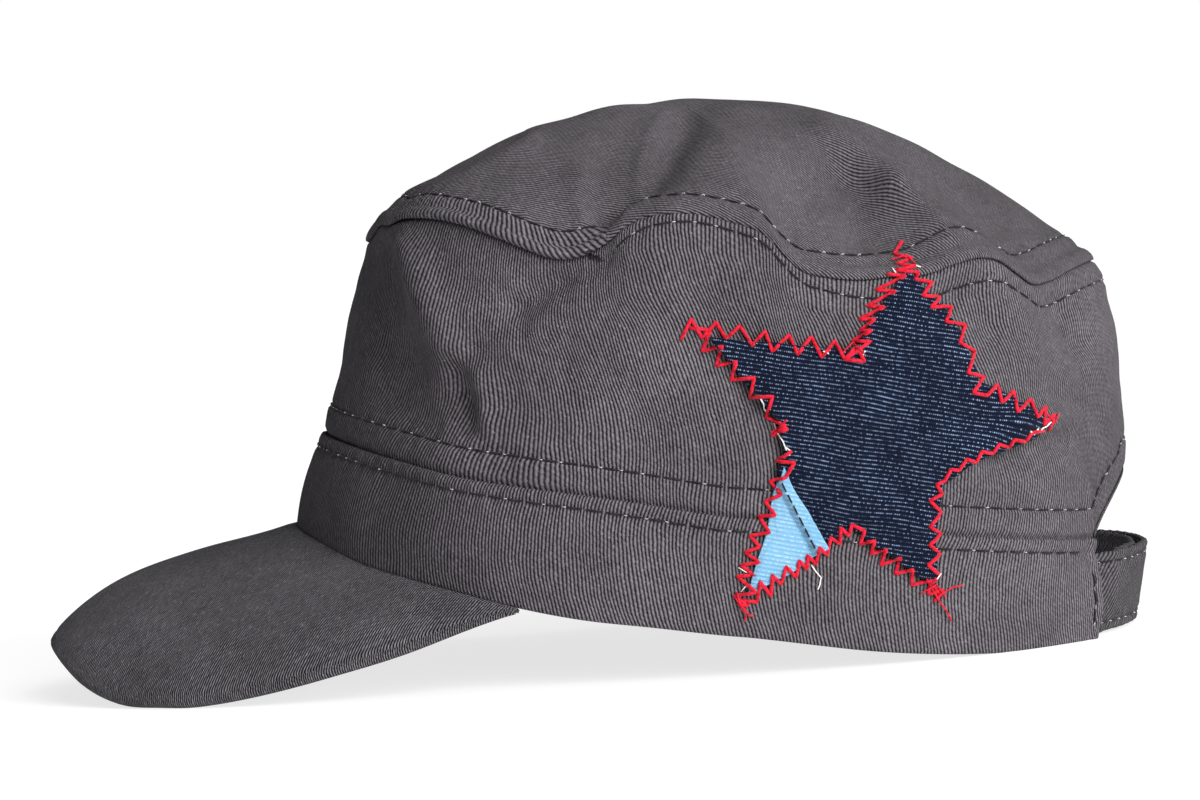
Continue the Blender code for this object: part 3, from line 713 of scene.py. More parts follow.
def rib_lean(rows, turn, across, up):
    """UV in millimetres with the ribs leaning by the table, turned about mid height."""
    lean = np.tan(np.radians(smooth(rows, "lean", turn)))
    middle = up.mean()
    return np.stack(np.broadcast_arrays((across + (up - middle) * lean) / MM, up / MM), axis=-1)

# %% How the ribs lean round the cap, and how much closer they are at the rear
EASED_IN = 0.2
EASED_FROM = 0.66
EASED_OVER = 0.1


def gathered(run, turn):
    """The run round the cap, with the ribs closer together at the rear, where the cloth is eased in."""
    close = 1 + EASED_IN * ease((np.abs(turn) - EASED_FROM) / EASED_OVER)
    steps = np.diff(run, axis=1) * (close[:, 1:] + close[:, :-1]) / 2
    total = np.concatenate([np.zeros((len(steps), 1)), np.cumsum(steps, axis=1)], axis=1)
    return total - total[:, [total.shape[1] // 2]]


Lean = namedtuple("Lean", "turn lean")
WALL_LEAN = table(
    Lean,
    (-1.0, 6), (-0.7, 10), (-0.4, 12), (-0.2, 2), (0.0, 0), (0.2, -4), (0.27, -1), (0.33, 9), (0.38, 17),
    (0.42, 19), (0.47, 17), (0.53, 16), (0.6, 13), (0.7, 8), (0.8, 7), (1.0, 6),
)

# %% Grid of the wall
wall_turn = np.linspace(-1, 1, WALL_COLUMNS + 1)
wall_low = opening_level(wall_turn)
wall_base = wall_point(wall_turn, wall_low)
wall_crest = wall_point(wall_turn, np.ones_like(wall_turn))
wall_height = np.linalg.norm(wall_crest - wall_base, axis=-1)
wall_places = row_places(wall_height)
joined = np.where(wall_low > 0, 0.0, 1.0)
behind_band = [-TURNED_IN * share * joined for share in (1.0, 0.7, 0.35)]
behind_lip = [wall_height + TURNED_IN * share for share in (0.3, 0.6, 0.85, 1.0)]
wall_places = np.concatenate([behind_band, wall_places, behind_lip])
wall_level = wall_low + (1 - wall_low) * wall_places / wall_height
wall_turns = np.broadcast_to(wall_turn, wall_level.shape)
wall_grid = wall_point(wall_turns, wall_level)
wall_run = run_lengths(wall_grid, 1)
wall_run = wall_run - wall_run[:, [WALL_COLUMNS // 2]]
wall_up = wall_places
wall_down = wall_height - wall_places
print("The wall is", round(float(wall_height.max()) / MM, 1), "mm high at most")

# %% Share of the lip and of the stitch row under it round the cap, and how near the seam the row runs
WeltShare = namedtuple("WeltShare", "turn welt lower_row reach")
WELT = table(
    WeltShare,
    (-1.0, 0.5, 1.0, 1.0), (-0.5, 0.4, 1.0, 1.0), (-0.15, 0.5, 0.2, 1.0), (0.0, 0.3, 0.0, 1.0),
    (0.14, 0.4, 0.0, 1.0), (0.22, 1.2, 0.0, 1.0), (0.36, 1.2, 0.15, 1.0), (0.39, 0.9, 0.5, 1.0),
    (0.41, 0.35, 1.0, 0.8), (0.46, 0.2, 1.0, 0.5), (0.52, 0.2, 1.0, 0.5), (0.57, 0.5, 1.0, 0.75),
    (0.62, 0.6, 1.0, 1.0), (0.75, 0.5, 1.0, 1.0), (1.0, 0.5, 1.0, 1.0),
)
lower_row = smooth(WELT, "lower_row", wall_turn)
wall_row_reach = smooth(WELT, "reach", wall_turn)

# %% Relief of the wall: creases, turned edges, stitch rows, and the edges that go in at the seams
SEAM_GROOVE = 1.1 * MM
SEAM_GROOVE_WIDTH = 0.9 * MM
UPPER_TURN = 1.9 * MM
# How far the turned edges reach from the band's seam and from the top seam
LOW_EDGE = 5.6 * MM
TOP_EDGE = 4.8 * MM

wall_relief = crease_height(wall_grid) * ease(wall_up / (10 * MM)) * ease(wall_down / (7 * MM))
wall_relief += turned_edge(wall_up, LOW_EDGE, 0.45 * MM)
wall_relief -= SEAM_GROOVE * bell(np.maximum(wall_up, 0), SEAM_GROOVE_WIDTH)
wall_relief -= LOW_TURN_DEPTH * ease(-wall_up / TURNED_IN)
wall_relief += furrow(wall_up - LOW_ROW, wall_run)
upper_furrow = furrow(wall_down - WALL_TOP_ROW * wall_row_reach, wall_run)
wall_relief += lower_row * (turned_edge(wall_down, TOP_EDGE * wall_row_reach, 0.4 * MM) + upper_furrow)
wall_relief -= TURN_DEPTH * ease((UPPER_TURN - wall_down) / (UPPER_TURN + TURNED_IN / 2))
wall_relief[:, -1] = wall_relief[:, 0]
wall_grid = wall_grid + grid_normals(wall_grid, True) * wall_relief[..., None]

# %% Mesh of the wall
WALL_CLOTH = 1.5 * MM
wall_uv = rib_lean(WALL_LEAN, wall_turns, gathered(wall_run, wall_turns), wall_up)
crown_wall = shell("twill_wall", wall_grid, WALL_CLOTH, wall_uv, True, grey_twill)
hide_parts("crown_wall")

# %% [markdown]
# ## The top panel
# The top is one oval cut. Its edge is rolled over the seam, so a thick round
# lip hangs over the wall at the front, and a row of stitches holds the turned
# edge flat. Towards the rear the lip is flatter. A subdivided disc could be
# pulled into this shape, but its rows wouldn't follow the seam. So the grid runs
# from the seam inwards to a pole at the highest point, where its last row is
# merged to one vertex.

# %% Sizes and creases of the top panel, in millimetres in the side view
TOP_COLUMNS = 500
TOP_ROW = 5.2 * MM
LIP_HEIGHT = 4.1 * MM
LIP_DROP = 0.9 * MM
LIP_SWELL = 1.6 * MM
VALLEY = Crease(12.2, 104.4, 27.0, 124.0, 4.5, -1.8)
REAR_RIDGE = (Crease(60.0, 121.5, 74.0, 108.0, 3.8, 0.7), Crease(74.0, 108.0, 86.0, 94.0, 3.2, 0.7))
TOP_CREASES = table(
    Crease,
    # Ridge that runs back from the front of the lip, and the dip behind it
    (-38.0, 111.0, -8.0, 122.0, 2.4, 0.7), (-40.0, 115.5, -12.0, 124.0, 2.6, -0.5),
    # Pinch, the dark valley and the puffs on both sides of it
    (3.6, 98.5, 2.7, 114.2, 3.0, 0.9), VALLEY, (5.0, 99.5, 13.0, 106.0, 3.5, -1.2),
    (-16.0, 104.0, -8.0, 116.0, 7.0, 0.6), (9.0, 101.0, 5.0, 108.0, 2.6, -0.8),
    (39.5, 106.0, 39.5, 117.0, 8.0, 0.8), (46.0, 100.0, 58.0, 108.0, 5.0, -0.7),
    # Hollow and sharp ridge towards the rear
    (65.0, 96.0, 65.0, 106.0, 5.0, -0.9), *REAR_RIDGE, (94.0, 98.0, 108.0, 94.0, 4.0, -0.7),
    (100.0, 92.0, 112.0, 88.0, 3.0, 0.5),
)


def top_crease_height(points):
    """Creases of the top; the valley and the rear ridge go on, more faintly, on the right side."""
    mirrored = creased(points, (VALLEY, *REAR_RIDGE), 1) * 0.6
    return creased(points, TOP_CREASES, -1) + mirrored + 0.2 * MM * ripple(points, 20 * MM, 7)

# %% Rows of the top panel, by the distance from the seam along the cloth
LIP_ROWS = 9
PANEL_ROWS = 58


def top_rows(turn):
    """Lip, turned edge and panel in rows from the seam to the pole."""
    base = wall_point(turn, np.zeros_like(turn))
    crest = wall_point(turn, np.ones_like(turn))
    seam = wall_point(turn, 1 - LIP_DROP / np.linalg.norm(crest - base, axis=-1))
    out = ring_outward(TOP_SEAM, turn)
    edge = top_point(turn, np.ones_like(turn))
    welt = smooth(WELT, "welt", turn)[:, None]
    rows = []
    for share in np.linspace(0, 1, LIP_ROWS):
        swell = sin(pi * share) ** 0.7
        point = blend_points(seam, edge, np.full_like(turn, share))
        rows.append(point + out * (LIP_SWELL * swell * welt + 0.15 * MM))
    panel_length = np.linalg.norm(edge - np.array([APEX, 0, CROWN_HEIGHT]), axis=-1)
    near = np.arange(0.7 * MM, 9 * MM, FINE_ROW)
    for distance in near:
        rows.append(top_point(turn, 1 - distance / panel_length))
    for share in np.linspace(0, 1, PANEL_ROWS)[1:]:
        reach = (1 - near[-1] / panel_length) * (1 - share)
        rows.append(top_point(turn, reach))
    return np.stack(rows)

# %% Grid and relief of the top panel
top_turn = np.linspace(-1, 1, TOP_COLUMNS + 1)
top_grid = top_rows(top_turn)
top_from_seam = run_lengths(top_grid, 0)
top_run = run_lengths(top_grid, 1)
top_welt = smooth(WELT, "welt", top_turn)
top_relief = top_crease_height(top_grid) * ease((top_from_seam - 5 * MM) / (8 * MM))
top_row_place = LIP_HEIGHT + TOP_ROW * smooth(WELT, "reach", top_turn)
top_relief += furrow(top_from_seam - top_row_place, top_run[[0]])
top_relief += turned_edge(top_from_seam - top_row_place + 0.8 * MM, 0.0, 0.35 * MM)
top_relief -= 0.7 * MM * top_welt * bell(top_from_seam - LIP_HEIGHT - 1.0 * MM, 1.1 * MM)
top_relief[:, -1] = top_relief[:, 0]
top_normal = grid_normals(top_grid, True)
top_normal[-1] = (0, 0, 1)
top_grid = top_grid + top_normal * top_relief[..., None]
top_grid[-1] = top_grid[-1].mean(axis=0)
print("The top is", round(float(top_from_seam[-1].max()) / MM, 1), "mm from its seam to its highest point")

# %% Ribs of the top: turned by one angle, measured along the cloth from the pole, and drawn closer
TOP_TURN = radians(-24)
TOP_RIB_CLOSE = 1.4

top_x, top_y = top_grid[..., 0] - APEX, top_grid[..., 1]
from_pole = (top_from_seam[-1:] - top_from_seam) / np.maximum(np.hypot(top_x, top_y), 0.1 * MM)
top_x, top_y = top_x * from_pole, top_y * from_pole
top_uv = np.stack([(top_y * cos(TOP_TURN) - top_x * sin(TOP_TURN)) * TOP_RIB_CLOSE / MM,
                   (top_x * cos(TOP_TURN) + top_y * sin(TOP_TURN)) / MM], axis=-1)

# %% Ribs of the rolled lip on the left, which lean as the wall's do
ROLL_LEAN = table(Lean, (-1.0, 0), (0.0, 0), (0.2, 6), (0.3, 18), (0.4, 30), (1.0, 0))
ROLL_START, ROLL_END = -0.42, 0.405

roll_uv = rib_lean(ROLL_LEAN, np.broadcast_to(top_turn, top_run.shape), top_run[[0]], top_from_seam)
row_middle = (top_from_seam[1:, 1:] + top_from_seam[:-1, :-1]) / 2
turn_middle = np.broadcast_to((top_turn[1:] + top_turn[:-1]) / 2, row_middle.shape)
rolled = (row_middle < LIP_HEIGHT + TOP_ROW) & (turn_middle > ROLL_START) & (turn_middle < ROLL_END)

# %% Mesh of the top panel
crown_top = shell("twill_top", top_grid, WALL_CLOTH, top_uv, True, grey_twill, True, [(rolled, roll_uv)])
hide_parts("crown_top")

# %% [markdown]
# ## The band
# The band is a strip folded at its lower edge. Its upper edge is turned in
# along the seam, where it makes a small lip with a row of stitches under it.
# It ends on both sides of the rear opening in a narrow stitched hem.

# %% Grid of the band
BAND_CLOTH = 2.0 * MM
BAND_COLUMNS = 520
# Rows of stitches, by their distance from the upper seam and from the open ends
BAND_ROW = 3.1 * MM
HEM_ROW = 3.4 * MM

hem_end = ring_turn(HEM, OPENING_HALF_WIDTH - HEM_REACH)
seam_end = ring_turn(BAND_SEAM, OPENING_HALF_WIDTH - SEAM_REACH)
band_share = np.linspace(-1, 1, BAND_COLUMNS + 1)
band_edge = np.array([0, 0.03, 0.12, 0.3, 0.6])
band_levels = np.concatenate([band_edge * 0.06, np.linspace(0.06, 0.72, 17), np.linspace(0.745, 0.97, 11),
                              1 - band_edge[::-1] * 0.03])
band_turn = (hem_end + (seam_end - hem_end) * band_levels[:, None]) * band_share
band_level = np.broadcast_to(band_levels[:, None], band_turn.shape)
band_grid = band_point(band_turn, band_level)
band_up = run_lengths(band_grid, 0)
band_down = band_up[-1:] - band_up
band_run = run_lengths(band_grid, 1)
band_end = np.minimum(band_run, band_run[:, -1:] - band_run)
band_run = band_run - band_run[:, [BAND_COLUMNS // 2]]
print("The band is", round(float(band_up.max()) / MM, 1), "mm high at most")

# %% Relief of the band: ripples, the turned upper edge and both stitched ends
band_relief = 0.22 * MM * ripple(band_grid, 22 * MM, 8)
band_relief *= ease(band_down / (6 * MM))
band_relief *= ease(band_up / (5 * MM))
band_relief += turned_edge(band_down, 2.6 * MM, 0.55 * MM, 1.3 * MM)
band_relief += furrow(band_down - BAND_ROW, band_run)
band_relief += turned_edge(band_end, 3.0 * MM, 0.3 * MM, 1.2 * MM) + furrow(band_end - HEM_ROW, band_up)
band_grid = band_grid + grid_normals(band_grid, False) * band_relief[..., None]

# %% Mesh of the band
BAND_LEAN = table(
    Lean,
    (-1.0, 8), (-0.6, 12), (-0.3, 4), (0.0, 0), (0.2, 0), (0.29, 8), (0.36, 13), (0.45, 17), (0.55, 14),
    (0.65, 10), (0.8, 9), (1.0, 8),
)
band_uv = rib_lean(BAND_LEAN, band_turn, gathered(band_run, band_turn), band_up)
band = shell("twill_band", band_grid, BAND_CLOTH, band_uv, False, grey_twill)
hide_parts("band")

# %% [markdown]
# ## The peak
# The peak is a stiff card between two cloths that are sewn together and turned
# right side out, so its rim is round and a fine line shows where the upper
# cloth rolls over the edge. A flat cut could be bent by a modifier, but the
# curve of the real one is also domed. So it is one closed form: the grid runs
# out over the top, round the rim and back underneath.

# %% Heights of the peak's rim, as shares of its reach, from the tip (0) to the corner (1)
EdgeHeight = namedtuple("EdgeHeight", "share height")
PEAK_EDGE = table(
    EdgeHeight,
    (0.0, 0.185), (0.10, 0.174), (0.20, 0.128), (0.28, 0.072), (0.36, 0.024), (0.43, -0.004),
    (0.50, -0.008), (0.57, -0.008), (0.62, 0.003), (0.70, 0.033), (0.80, 0.089), (0.90, 0.163),
    (1.0, 0.278),
)

# %% Sizes of the peak
PEAK_COLUMNS = 300
PEAK_HALF_TURN = 0.348
PEAK_POWER = 2.4
PEAK_END_WIDTH = 1.6 * MM
PEAK_EDGE_LEAN = 2.3 * MM
# Card and cloth together, thinner towards both corners, and the part that goes in under the band
PEAK_THICKNESS = 3.2 * MM
PEAK_END_THICKNESS = 0.8 * MM
PEAK_TAPER = 22.0 * MM
PEAK_TUCK = 1.5 * MM
SEAT_RISE = 0.4 * MM
# The dome is three curves that are 0 at the seat and the rim: each scale brings its curve's top to 1
Dome = namedtuple("Dome", "rise power scale")
PEAK_DOMES = (Dome(4.0 * MM, 2, 6.75), Dome(0.8 * MM, 6, 17.65), Dome(1.5 * MM, 1, 4))

peak_corner = hem_point(np.array([PEAK_HALF_TURN]))[0]
peak_share = np.linspace(-1, 1, PEAK_COLUMNS + 1)
peak_turn = peak_share * PEAK_HALF_TURN
peak_seat = hem_point(peak_turn)


def peak_taper(x):
    """Share of the full thickness, which falls towards the corners."""
    taper = ease((x - peak_corner[0]) / PEAK_TAPER + 1)
    return 1 + (PEAK_END_THICKNESS / PEAK_THICKNESS - 1) * taper

# %% Underside of the peak, in rows from its seat under the band out to the rim
peak_seat[:, 2] += SEAT_RISE - PEAK_THICKNESS * peak_taper(peak_seat[:, 0])
peak_along = power_of(np.cos(pi / 2 * peak_share), 2 / PEAK_POWER)
peak_across = power_of(np.sin(pi / 2 * peak_share), 2 / PEAK_POWER)
peak_reach = peak_corner[0] - FRONT_HEM + PEAK_REACH - PEAK_EDGE_LEAN
peak_rim = stack(peak_corner[0] - peak_reach * peak_along, -(-peak_corner[1] + PEAK_END_WIDTH) * peak_across,
                 PEAK_REACH * smooth(PEAK_EDGE, "height", np.abs(peak_share)))
peak_rows = []
for out in (0.0, *np.linspace(0, 0.90, 40), *np.linspace(0.912, 0.97, 8), 0.98, 0.99, 0.996, 1.0):
    row = blend_points(peak_seat, peak_rim, np.full_like(peak_share, out))
    for dome in PEAK_DOMES:
        row[:, 2] += dome.scale * out ** dome.power * (1 - out) * dome.rise * peak_along
    peak_rows.append(row)
peak_rows[0] = peak_rows[0] - ring_outward(HEM, peak_turn) * PEAK_TUCK
peak_rows[0][:, 2] -= PEAK_TUCK / 2
peak_under = np.stack(peak_rows)
print("The peak reaches", round(peak_reach / MM, 1), "mm beyond its corners")

# %% Thickness of the peak, its round rim, and the line beside it
PEAK_EDGE_LINE = 2.3 * MM
LINE_DEPTH = 0.28 * MM
LINE_WIDTH = 0.55 * MM
RIM_SHARE = 0.62

peak_normal = grid_normals(peak_under, False)
middle_normal = peak_normal[len(peak_rows) // 2, PEAK_COLUMNS // 2]
if middle_normal[2] < 0:
    peak_normal = -peak_normal
peak_run = run_lengths(peak_under, 0)
peak_edge = peak_run[-1:] - peak_run
peak_full = (PEAK_THICKNESS * peak_taper(peak_under[..., 0]))[..., None]
round_width = np.minimum(PEAK_THICKNESS * RIM_SHARE, 0.45 * peak_run[-1:] + 0.01 * MM)
peak_round = np.sqrt(1 - (1 - np.clip(peak_edge / round_width, 0, 1)) ** 2)[..., None]
peak_middle = peak_under + peak_normal * peak_full / 2
peak_top = peak_middle + peak_normal * peak_full / 2 * peak_round
peak_line = -LINE_DEPTH * bell(peak_edge - PEAK_EDGE_LINE, LINE_WIDTH)
peak_line = peak_line + 0.12 * MM * ripple(peak_under, 24 * MM, 9)
peak_top = peak_top + peak_normal * (peak_line * peak_round[..., 0])[..., None]
peak_low = peak_middle - peak_normal * peak_full / 2 * peak_round
peak_grid = np.concatenate([peak_top, peak_low[::-1], peak_top[:1]])

# %% Ribs of the peak: slanting over its faces, and along the rim where the cloth rolls over it
PEAK_RIB_TURN = radians(45)
PEAK_RIB_CLOSE = 1.55
RIM_SLANT = 0.6

peak_u = -peak_grid[..., 0] * sin(PEAK_RIB_TURN) + peak_grid[..., 1] * cos(PEAK_RIB_TURN)
peak_v = peak_grid[..., 0] * cos(PEAK_RIB_TURN) + peak_grid[..., 1] * sin(PEAK_RIB_TURN)
peak_uv = np.stack([peak_u * PEAK_RIB_CLOSE / MM, peak_v / MM], axis=-1)
rim_run = np.broadcast_to(run_lengths(peak_top, 1)[[-1]], peak_edge.shape)
rim_uv = np.stack([(rim_run + peak_edge * RIM_SLANT) * PEAK_RIB_CLOSE / MM, peak_edge / MM], axis=-1)
rim_uv = np.concatenate([rim_uv, rim_uv[::-1] * np.array([1, -1]), rim_uv[:1]])
long_enough = peak_run[-1:, 1:] > 2 * PEAK_EDGE_LINE
near_rim = (peak_edge[1:, 1:] < PEAK_EDGE_LINE) & long_enough
between = np.zeros((1, PEAK_COLUMNS), bool)
on_rim = np.concatenate([near_rim, long_enough, near_rim[::-1], between])

# %% Mesh of the peak, with both corners closed
peak = grid_primitive("twill_peak", peak_grid, peak_uv)
recut(peak, on_rim, rim_uv)
merge(peak)
activate(peak)
bpy.ops.object.mode_set(mode="EDIT")
bpy.ops.mesh.select_all(action="SELECT")
bpy.ops.mesh.fill_holes(sides=0)
bpy.ops.mesh.normals_make_consistent(inside=False)
bpy.ops.object.mode_set(mode="OBJECT")
finish_cloth(peak, peak_twill)
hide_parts("peak")

# %% [markdown]
# ## Fastening tape
# The tape that holds a strap is woven nylon with a pile of tiny loops. The loops
# scatter the light, so it looks black and woolly without any shine. Real loops
# would be far too many, so noise stands in for them in colour and height.

# %% Tape finish: loops of about half a millimetre
tape_black, tree, shader = new_material("black fastening tape", 0.8)
uv = add_node(tree, "TexCoord", out="UV")
loops = add_node(tree, "TexNoise", {"Vector": uv, "Scale": 1.6, "Detail": 5.0})
ramp = add_node(tree, "ValToRGB", {"Fac": loops})
set_stops(ramp, (0.35, "#0e0e10"), (0.7, "#2a292c"))
tree.links.new(ramp, shader.inputs["Base Color"])
bump = add_node(tree, "Bump", {"Strength": 0.8, "Distance": 0.3 * MM, "Height": loops})
tree.links.new(bump, shader.inputs["Normal"])

# %% [markdown]
# ## The strap
# Two flat strips come out from inside the band and lap at the rear, with the
# tape between them. A single bent ribbon would be simpler, but they are separate
# cloths on the real cap. So they are three thin shells on rings of their own,
# one inside the other.

# %% Sizes of the straps and the tape
STRAP_COLUMNS = 150
STRAP_WIDTH = 18.4 * MM
STRAP_CLOTH = 1.6 * MM
STRAP_STITCH = 2.2 * MM
STRAP_RIB_TURN = radians(52)
# Height over the ground, length inside the band, length past the middle, and lean of the free part
STRAP_LIFT = 0.5 * MM
STRAP_TUCK = 9.0 * MM
STRAP_OVERLAP = 33.0 * MM
STRAP_LEAN = 4.0 * MM
STRAP_FREE = 0.75
TAPE_THICKNESS = 0.8 * MM
TAPE_LENGTH = 60.0 * MM
TAPE_DROP = 0.4 * MM
LAYER_GAP = 0.3 * MM

strap_lines = []

# %% A strip of cloth across the rear opening
def strip_grid(width, start, end, layer, low):
    """Points of a strip that comes from behind the band and then lies free on a layer of its own."""
    free_end = ring_turn(HEM, STRAP_FREE * OPENING_HALF_WIDTH)
    band_lean = (HEM.rear - BAND_SEAM.rear) * HEAD_LENGTH
    turn = np.linspace(start, end, STRAP_COLUMNS + 1)
    level = (width / STRAP_WIDTH)[:, None]
    share = ease((turn - hem_end) / (free_end - hem_end))
    tucked = BAND_CLOTH + LAYER_GAP - band_lean * level
    free = layer + STRAP_LEAN * (1 - level)
    inset = tucked + (free - tucked) * share
    x, y = ring_place(HEM, turn)
    grid = stack(np.broadcast_to(x, inset.shape), np.broadcast_to(y, inset.shape), low + STRAP_WIDTH * level)
    return grid - ring_outward(HEM, turn)[None] * inset[..., None]


def strap_strip(name, start, end, side, layer, low, thickness, finish, stitched):
    """A strip as a shell; side is -1 for the right side, and a stitched one keeps its rows of holes."""
    edge = np.array([0, 0.1, 0.35, 0.8]) * MM
    middle_rows = np.linspace(1.4 * MM, STRAP_WIDTH - 1.4 * MM, 22)
    width = np.concatenate([edge, middle_rows, STRAP_WIDTH - edge[::-1]])
    grid = strip_grid(width, start, end, layer, low)
    run = run_lengths(grid, 1)
    if stitched:
        middle = np.minimum(width, STRAP_WIDTH - width)[:, None]
        relief = furrow(middle - STRAP_STITCH, run, 0.7 * MM) + 0.1 * MM * ripple(grid, 14 * MM, 11)
        grid = grid + grid_normals(grid, False) * relief[..., None]
    up = np.broadcast_to(width[:, None], run.shape)
    uv = np.stack([(run * sin(STRAP_RIB_TURN) - up * cos(STRAP_RIB_TURN)) / MM,
                   (run * cos(STRAP_RIB_TURN) + up * sin(STRAP_RIB_TURN)) / MM], axis=-1)
    if side < 0:
        grid = grid[:, ::-1] * np.array([1, -1, 1])
        uv = uv[:, ::-1]
    if stitched:
        for edge_place in (STRAP_STITCH, STRAP_WIDTH - STRAP_STITCH):
            strap_lines.append(seam_line(grid, False, run, up, edge_place))
    return shell(name, grid, thickness, uv, False, finish)

# %% Build both straps and the tape
strap_start = hem_end - STRAP_TUCK / HEAD_LENGTH
strap_end = 2 - ring_turn(HEM, STRAP_OVERLAP)
tape_start = ring_turn(HEM, TAPE_LENGTH / 2)
tape_layer = STRAP_CLOTH + LAYER_GAP
inner_layer = tape_layer + TAPE_THICKNESS + LAYER_GAP
strap_left = strap_strip("strap_outer", strap_start, strap_end, 1, 0.0, STRAP_LIFT, STRAP_CLOTH,
                         strap_twill_with_painted_shade, True)
strap_right = strap_strip("strap_inner", strap_start, strap_end, -1, inner_layer, STRAP_LIFT, STRAP_CLOTH,
                          strap_twill_with_painted_shade, True)
strap_tape = strap_strip("fastening_tape", tape_start, 2 - tape_start, 1, tape_layer, STRAP_LIFT - TAPE_DROP,
                         TAPE_THICKNESS, tape_black, False)
for piece, node, length in ((strap_left, "strap_left", 0.102), (strap_right, "strap_right", 0.098)):
    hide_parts(node)
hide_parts("strap_tape")

# %% [markdown]
# ## The star
# The star was cut by hand from old jeans and laid over the side of the crown,
# across the band's seam. Its lower front corner is cut over the folded hem of a
# bleached piece. A Shrinkwrap modifier could press a flat star onto the cap, but
# it would follow every stitch. A star is seen whole from its centre, so a polar
# grid fills it here: its columns go round the outline and its rows from the rim
# to the centre. Each point is then cast sideways onto a smooth skin of the crown.

# %% Skin of the left side that the star lies on
# The star bridges the creases, so its skin has only this share of their depth
SKIN_RELIEF = 0.7

skin_turn = np.linspace(0, 1, 241)
skin_rows = [hem_point(skin_turn) - np.array([0, 0, 0.03]), hem_point(skin_turn)]
for surface, levels in ((band_point, np.linspace(0.1, 0.9, 9)), (wall_point, np.linspace(0, 1, 31)),
                        (top_point, np.linspace(1.0, 0.0, 26))):
    skin_rows += [surface(skin_turn, np.full_like(skin_turn, level)) for level in levels]
skin_grid = np.stack(skin_rows)
skin_relief = creased(skin_grid, LEFT_CREASES, -1)
skin_normal = grid_normals(skin_grid, False)
skin_grid = skin_grid + skin_normal * (skin_relief * SKIN_RELIEF)[..., None]
skin = grid_primitive("skin", skin_grid)
skin_mesh = bmesh.new()
skin_mesh.from_mesh(skin.data)
skin_surface = BVHTree.FromBMesh(skin_mesh)
skin_mesh.free()
bpy.data.objects.remove(skin)


def on_skin(x, z, proud):
    """Place at x and z on the side of the crown, lifted out of the cloth by proud."""
    hit, normal, _, _ = skin_surface.ray_cast(Vector((x, -0.2, z)), Vector((0, 1, 0)))
    out = normal if normal.y < 0 else -normal
    return np.array(hit + out * proud)

# %% Corners of the star and of its pale corner, in millimetres in the side view
STAR_CENTRE = (66.0, 50.0)
STAR_CORNERS = (
    (73.8, 87.4), (80.2, 80.0), (85.4, 71.0), (87.8, 61.4), (96.0, 57.2), (104.4, 50.6), (96.0, 46.8),
    (87.0, 44.0), (77.8, 39.2), (76.2, 28.0), (74.9, 17.4), (67.0, 22.8), (57.4, 31.0), (51.8, 27.6),
    (50.0, 26.8), (41.8, 45.0), (43.6, 48.8), (42.8, 56.4), (36.0, 65.2), (28.9, 76.2), (42.0, 74.0),
    (60.8, 70.8), (67.4, 80.4),
)
PALE_CENTRE = (41.0, 31.0)
PALE_CORNERS = (
    (43.0, 46.2), (41.0, 41.2), (37.2, 29.0), (33.0, 18.0), (41.4, 21.8), (51.4, 27.2), (47.8, 35.6),
)
PALE_LINE = ((43.0, 46.2), (51.4, 27.2))
HEM_STRIP = 2.6
STAR_CLOTH = 0.9 * MM
# How far each patch stands out of the skin: the pale corner lies over the star
STAR_PROUD = 1.15 * MM
CORNER_PROUD = 1.35 * MM
SLACK = 0.35 * MM
WANDER = 0.16 * MM


def outline_points(corners, spacing, seed):
    """Points along the closed outline, with the small wander of a cut by hand."""
    ends = np.array(corners + corners[:1]) * MM
    points = []
    for a, b in zip(ends[:-1], ends[1:]):
        count = max(2, round(float(np.linalg.norm(b - a)) / spacing))
        points += [a + (b - a) * k / count for k in range(count)]
    points = np.array(points)
    lifted = np.concatenate([points, np.zeros((len(points), 1))], axis=1)
    points[:, 0] += WANDER * ripple(lifted, 9 * MM, seed)
    points[:, 1] += WANDER * ripple(lifted, 9 * MM, seed + 1)
    return np.concatenate([points, points[:1]])


def patch(name, corners, centre, rows, lift, seed, finish, extra=lambda flat: 0.0):
    """A patch that dips to the cloth at its rim and lies a little slack inside it."""
    rim = outline_points(corners, 0.8 * MM, seed)
    middle = np.array(centre) * MM
    shares = 1 - np.concatenate([[0, 0.012, 0.03], np.linspace(0.055, 1, rows)])
    flat = middle + (rim - middle) * shares[:, None, None]
    inside = np.linalg.norm(rim - middle, axis=-1) * (1 - shares[:, None])
    slack = lift + SLACK * ease(inside / (5 * MM))
    lifted = stack(flat[..., 0], flat[..., 1], 0.0)
    slack = slack + 0.22 * MM * ripple(lifted, 13 * MM, seed + 2) * ease(inside / (4 * MM)) + extra(flat)
    grid = np.zeros(flat.shape[:2] + (3,))
    for row in range(flat.shape[0]):
        for column in range(flat.shape[1]):
            grid[row, column] = on_skin(*flat[row, column], slack[row, column])
    return shell(name, grid, STAR_CLOTH, flat / MM, True, finish, True)

# %% [markdown]
# ## Denim
# Denim is a twill with dyed warp and undyed weft. The weft shows as short pale
# flecks in rows between the warp ribs, more of them where the cloth is worn. A
# brick texture gives rows too, but none of its bricks is ever left out. Here
# every fleck has its own chance of being seen. The rows are turned by 14 degrees
# with a Mapping node.

# %% Denim finish: lengths in millimetres of the UV map
# Rows of flecks as far apart as the photograph shows them, and flecks about half as long
FLECK_ROW = 0.94
FLECK_LENGTH = 0.46
ROW_CLIMB = radians(14)
WEFT_HEIGHT = 0.18 * MM


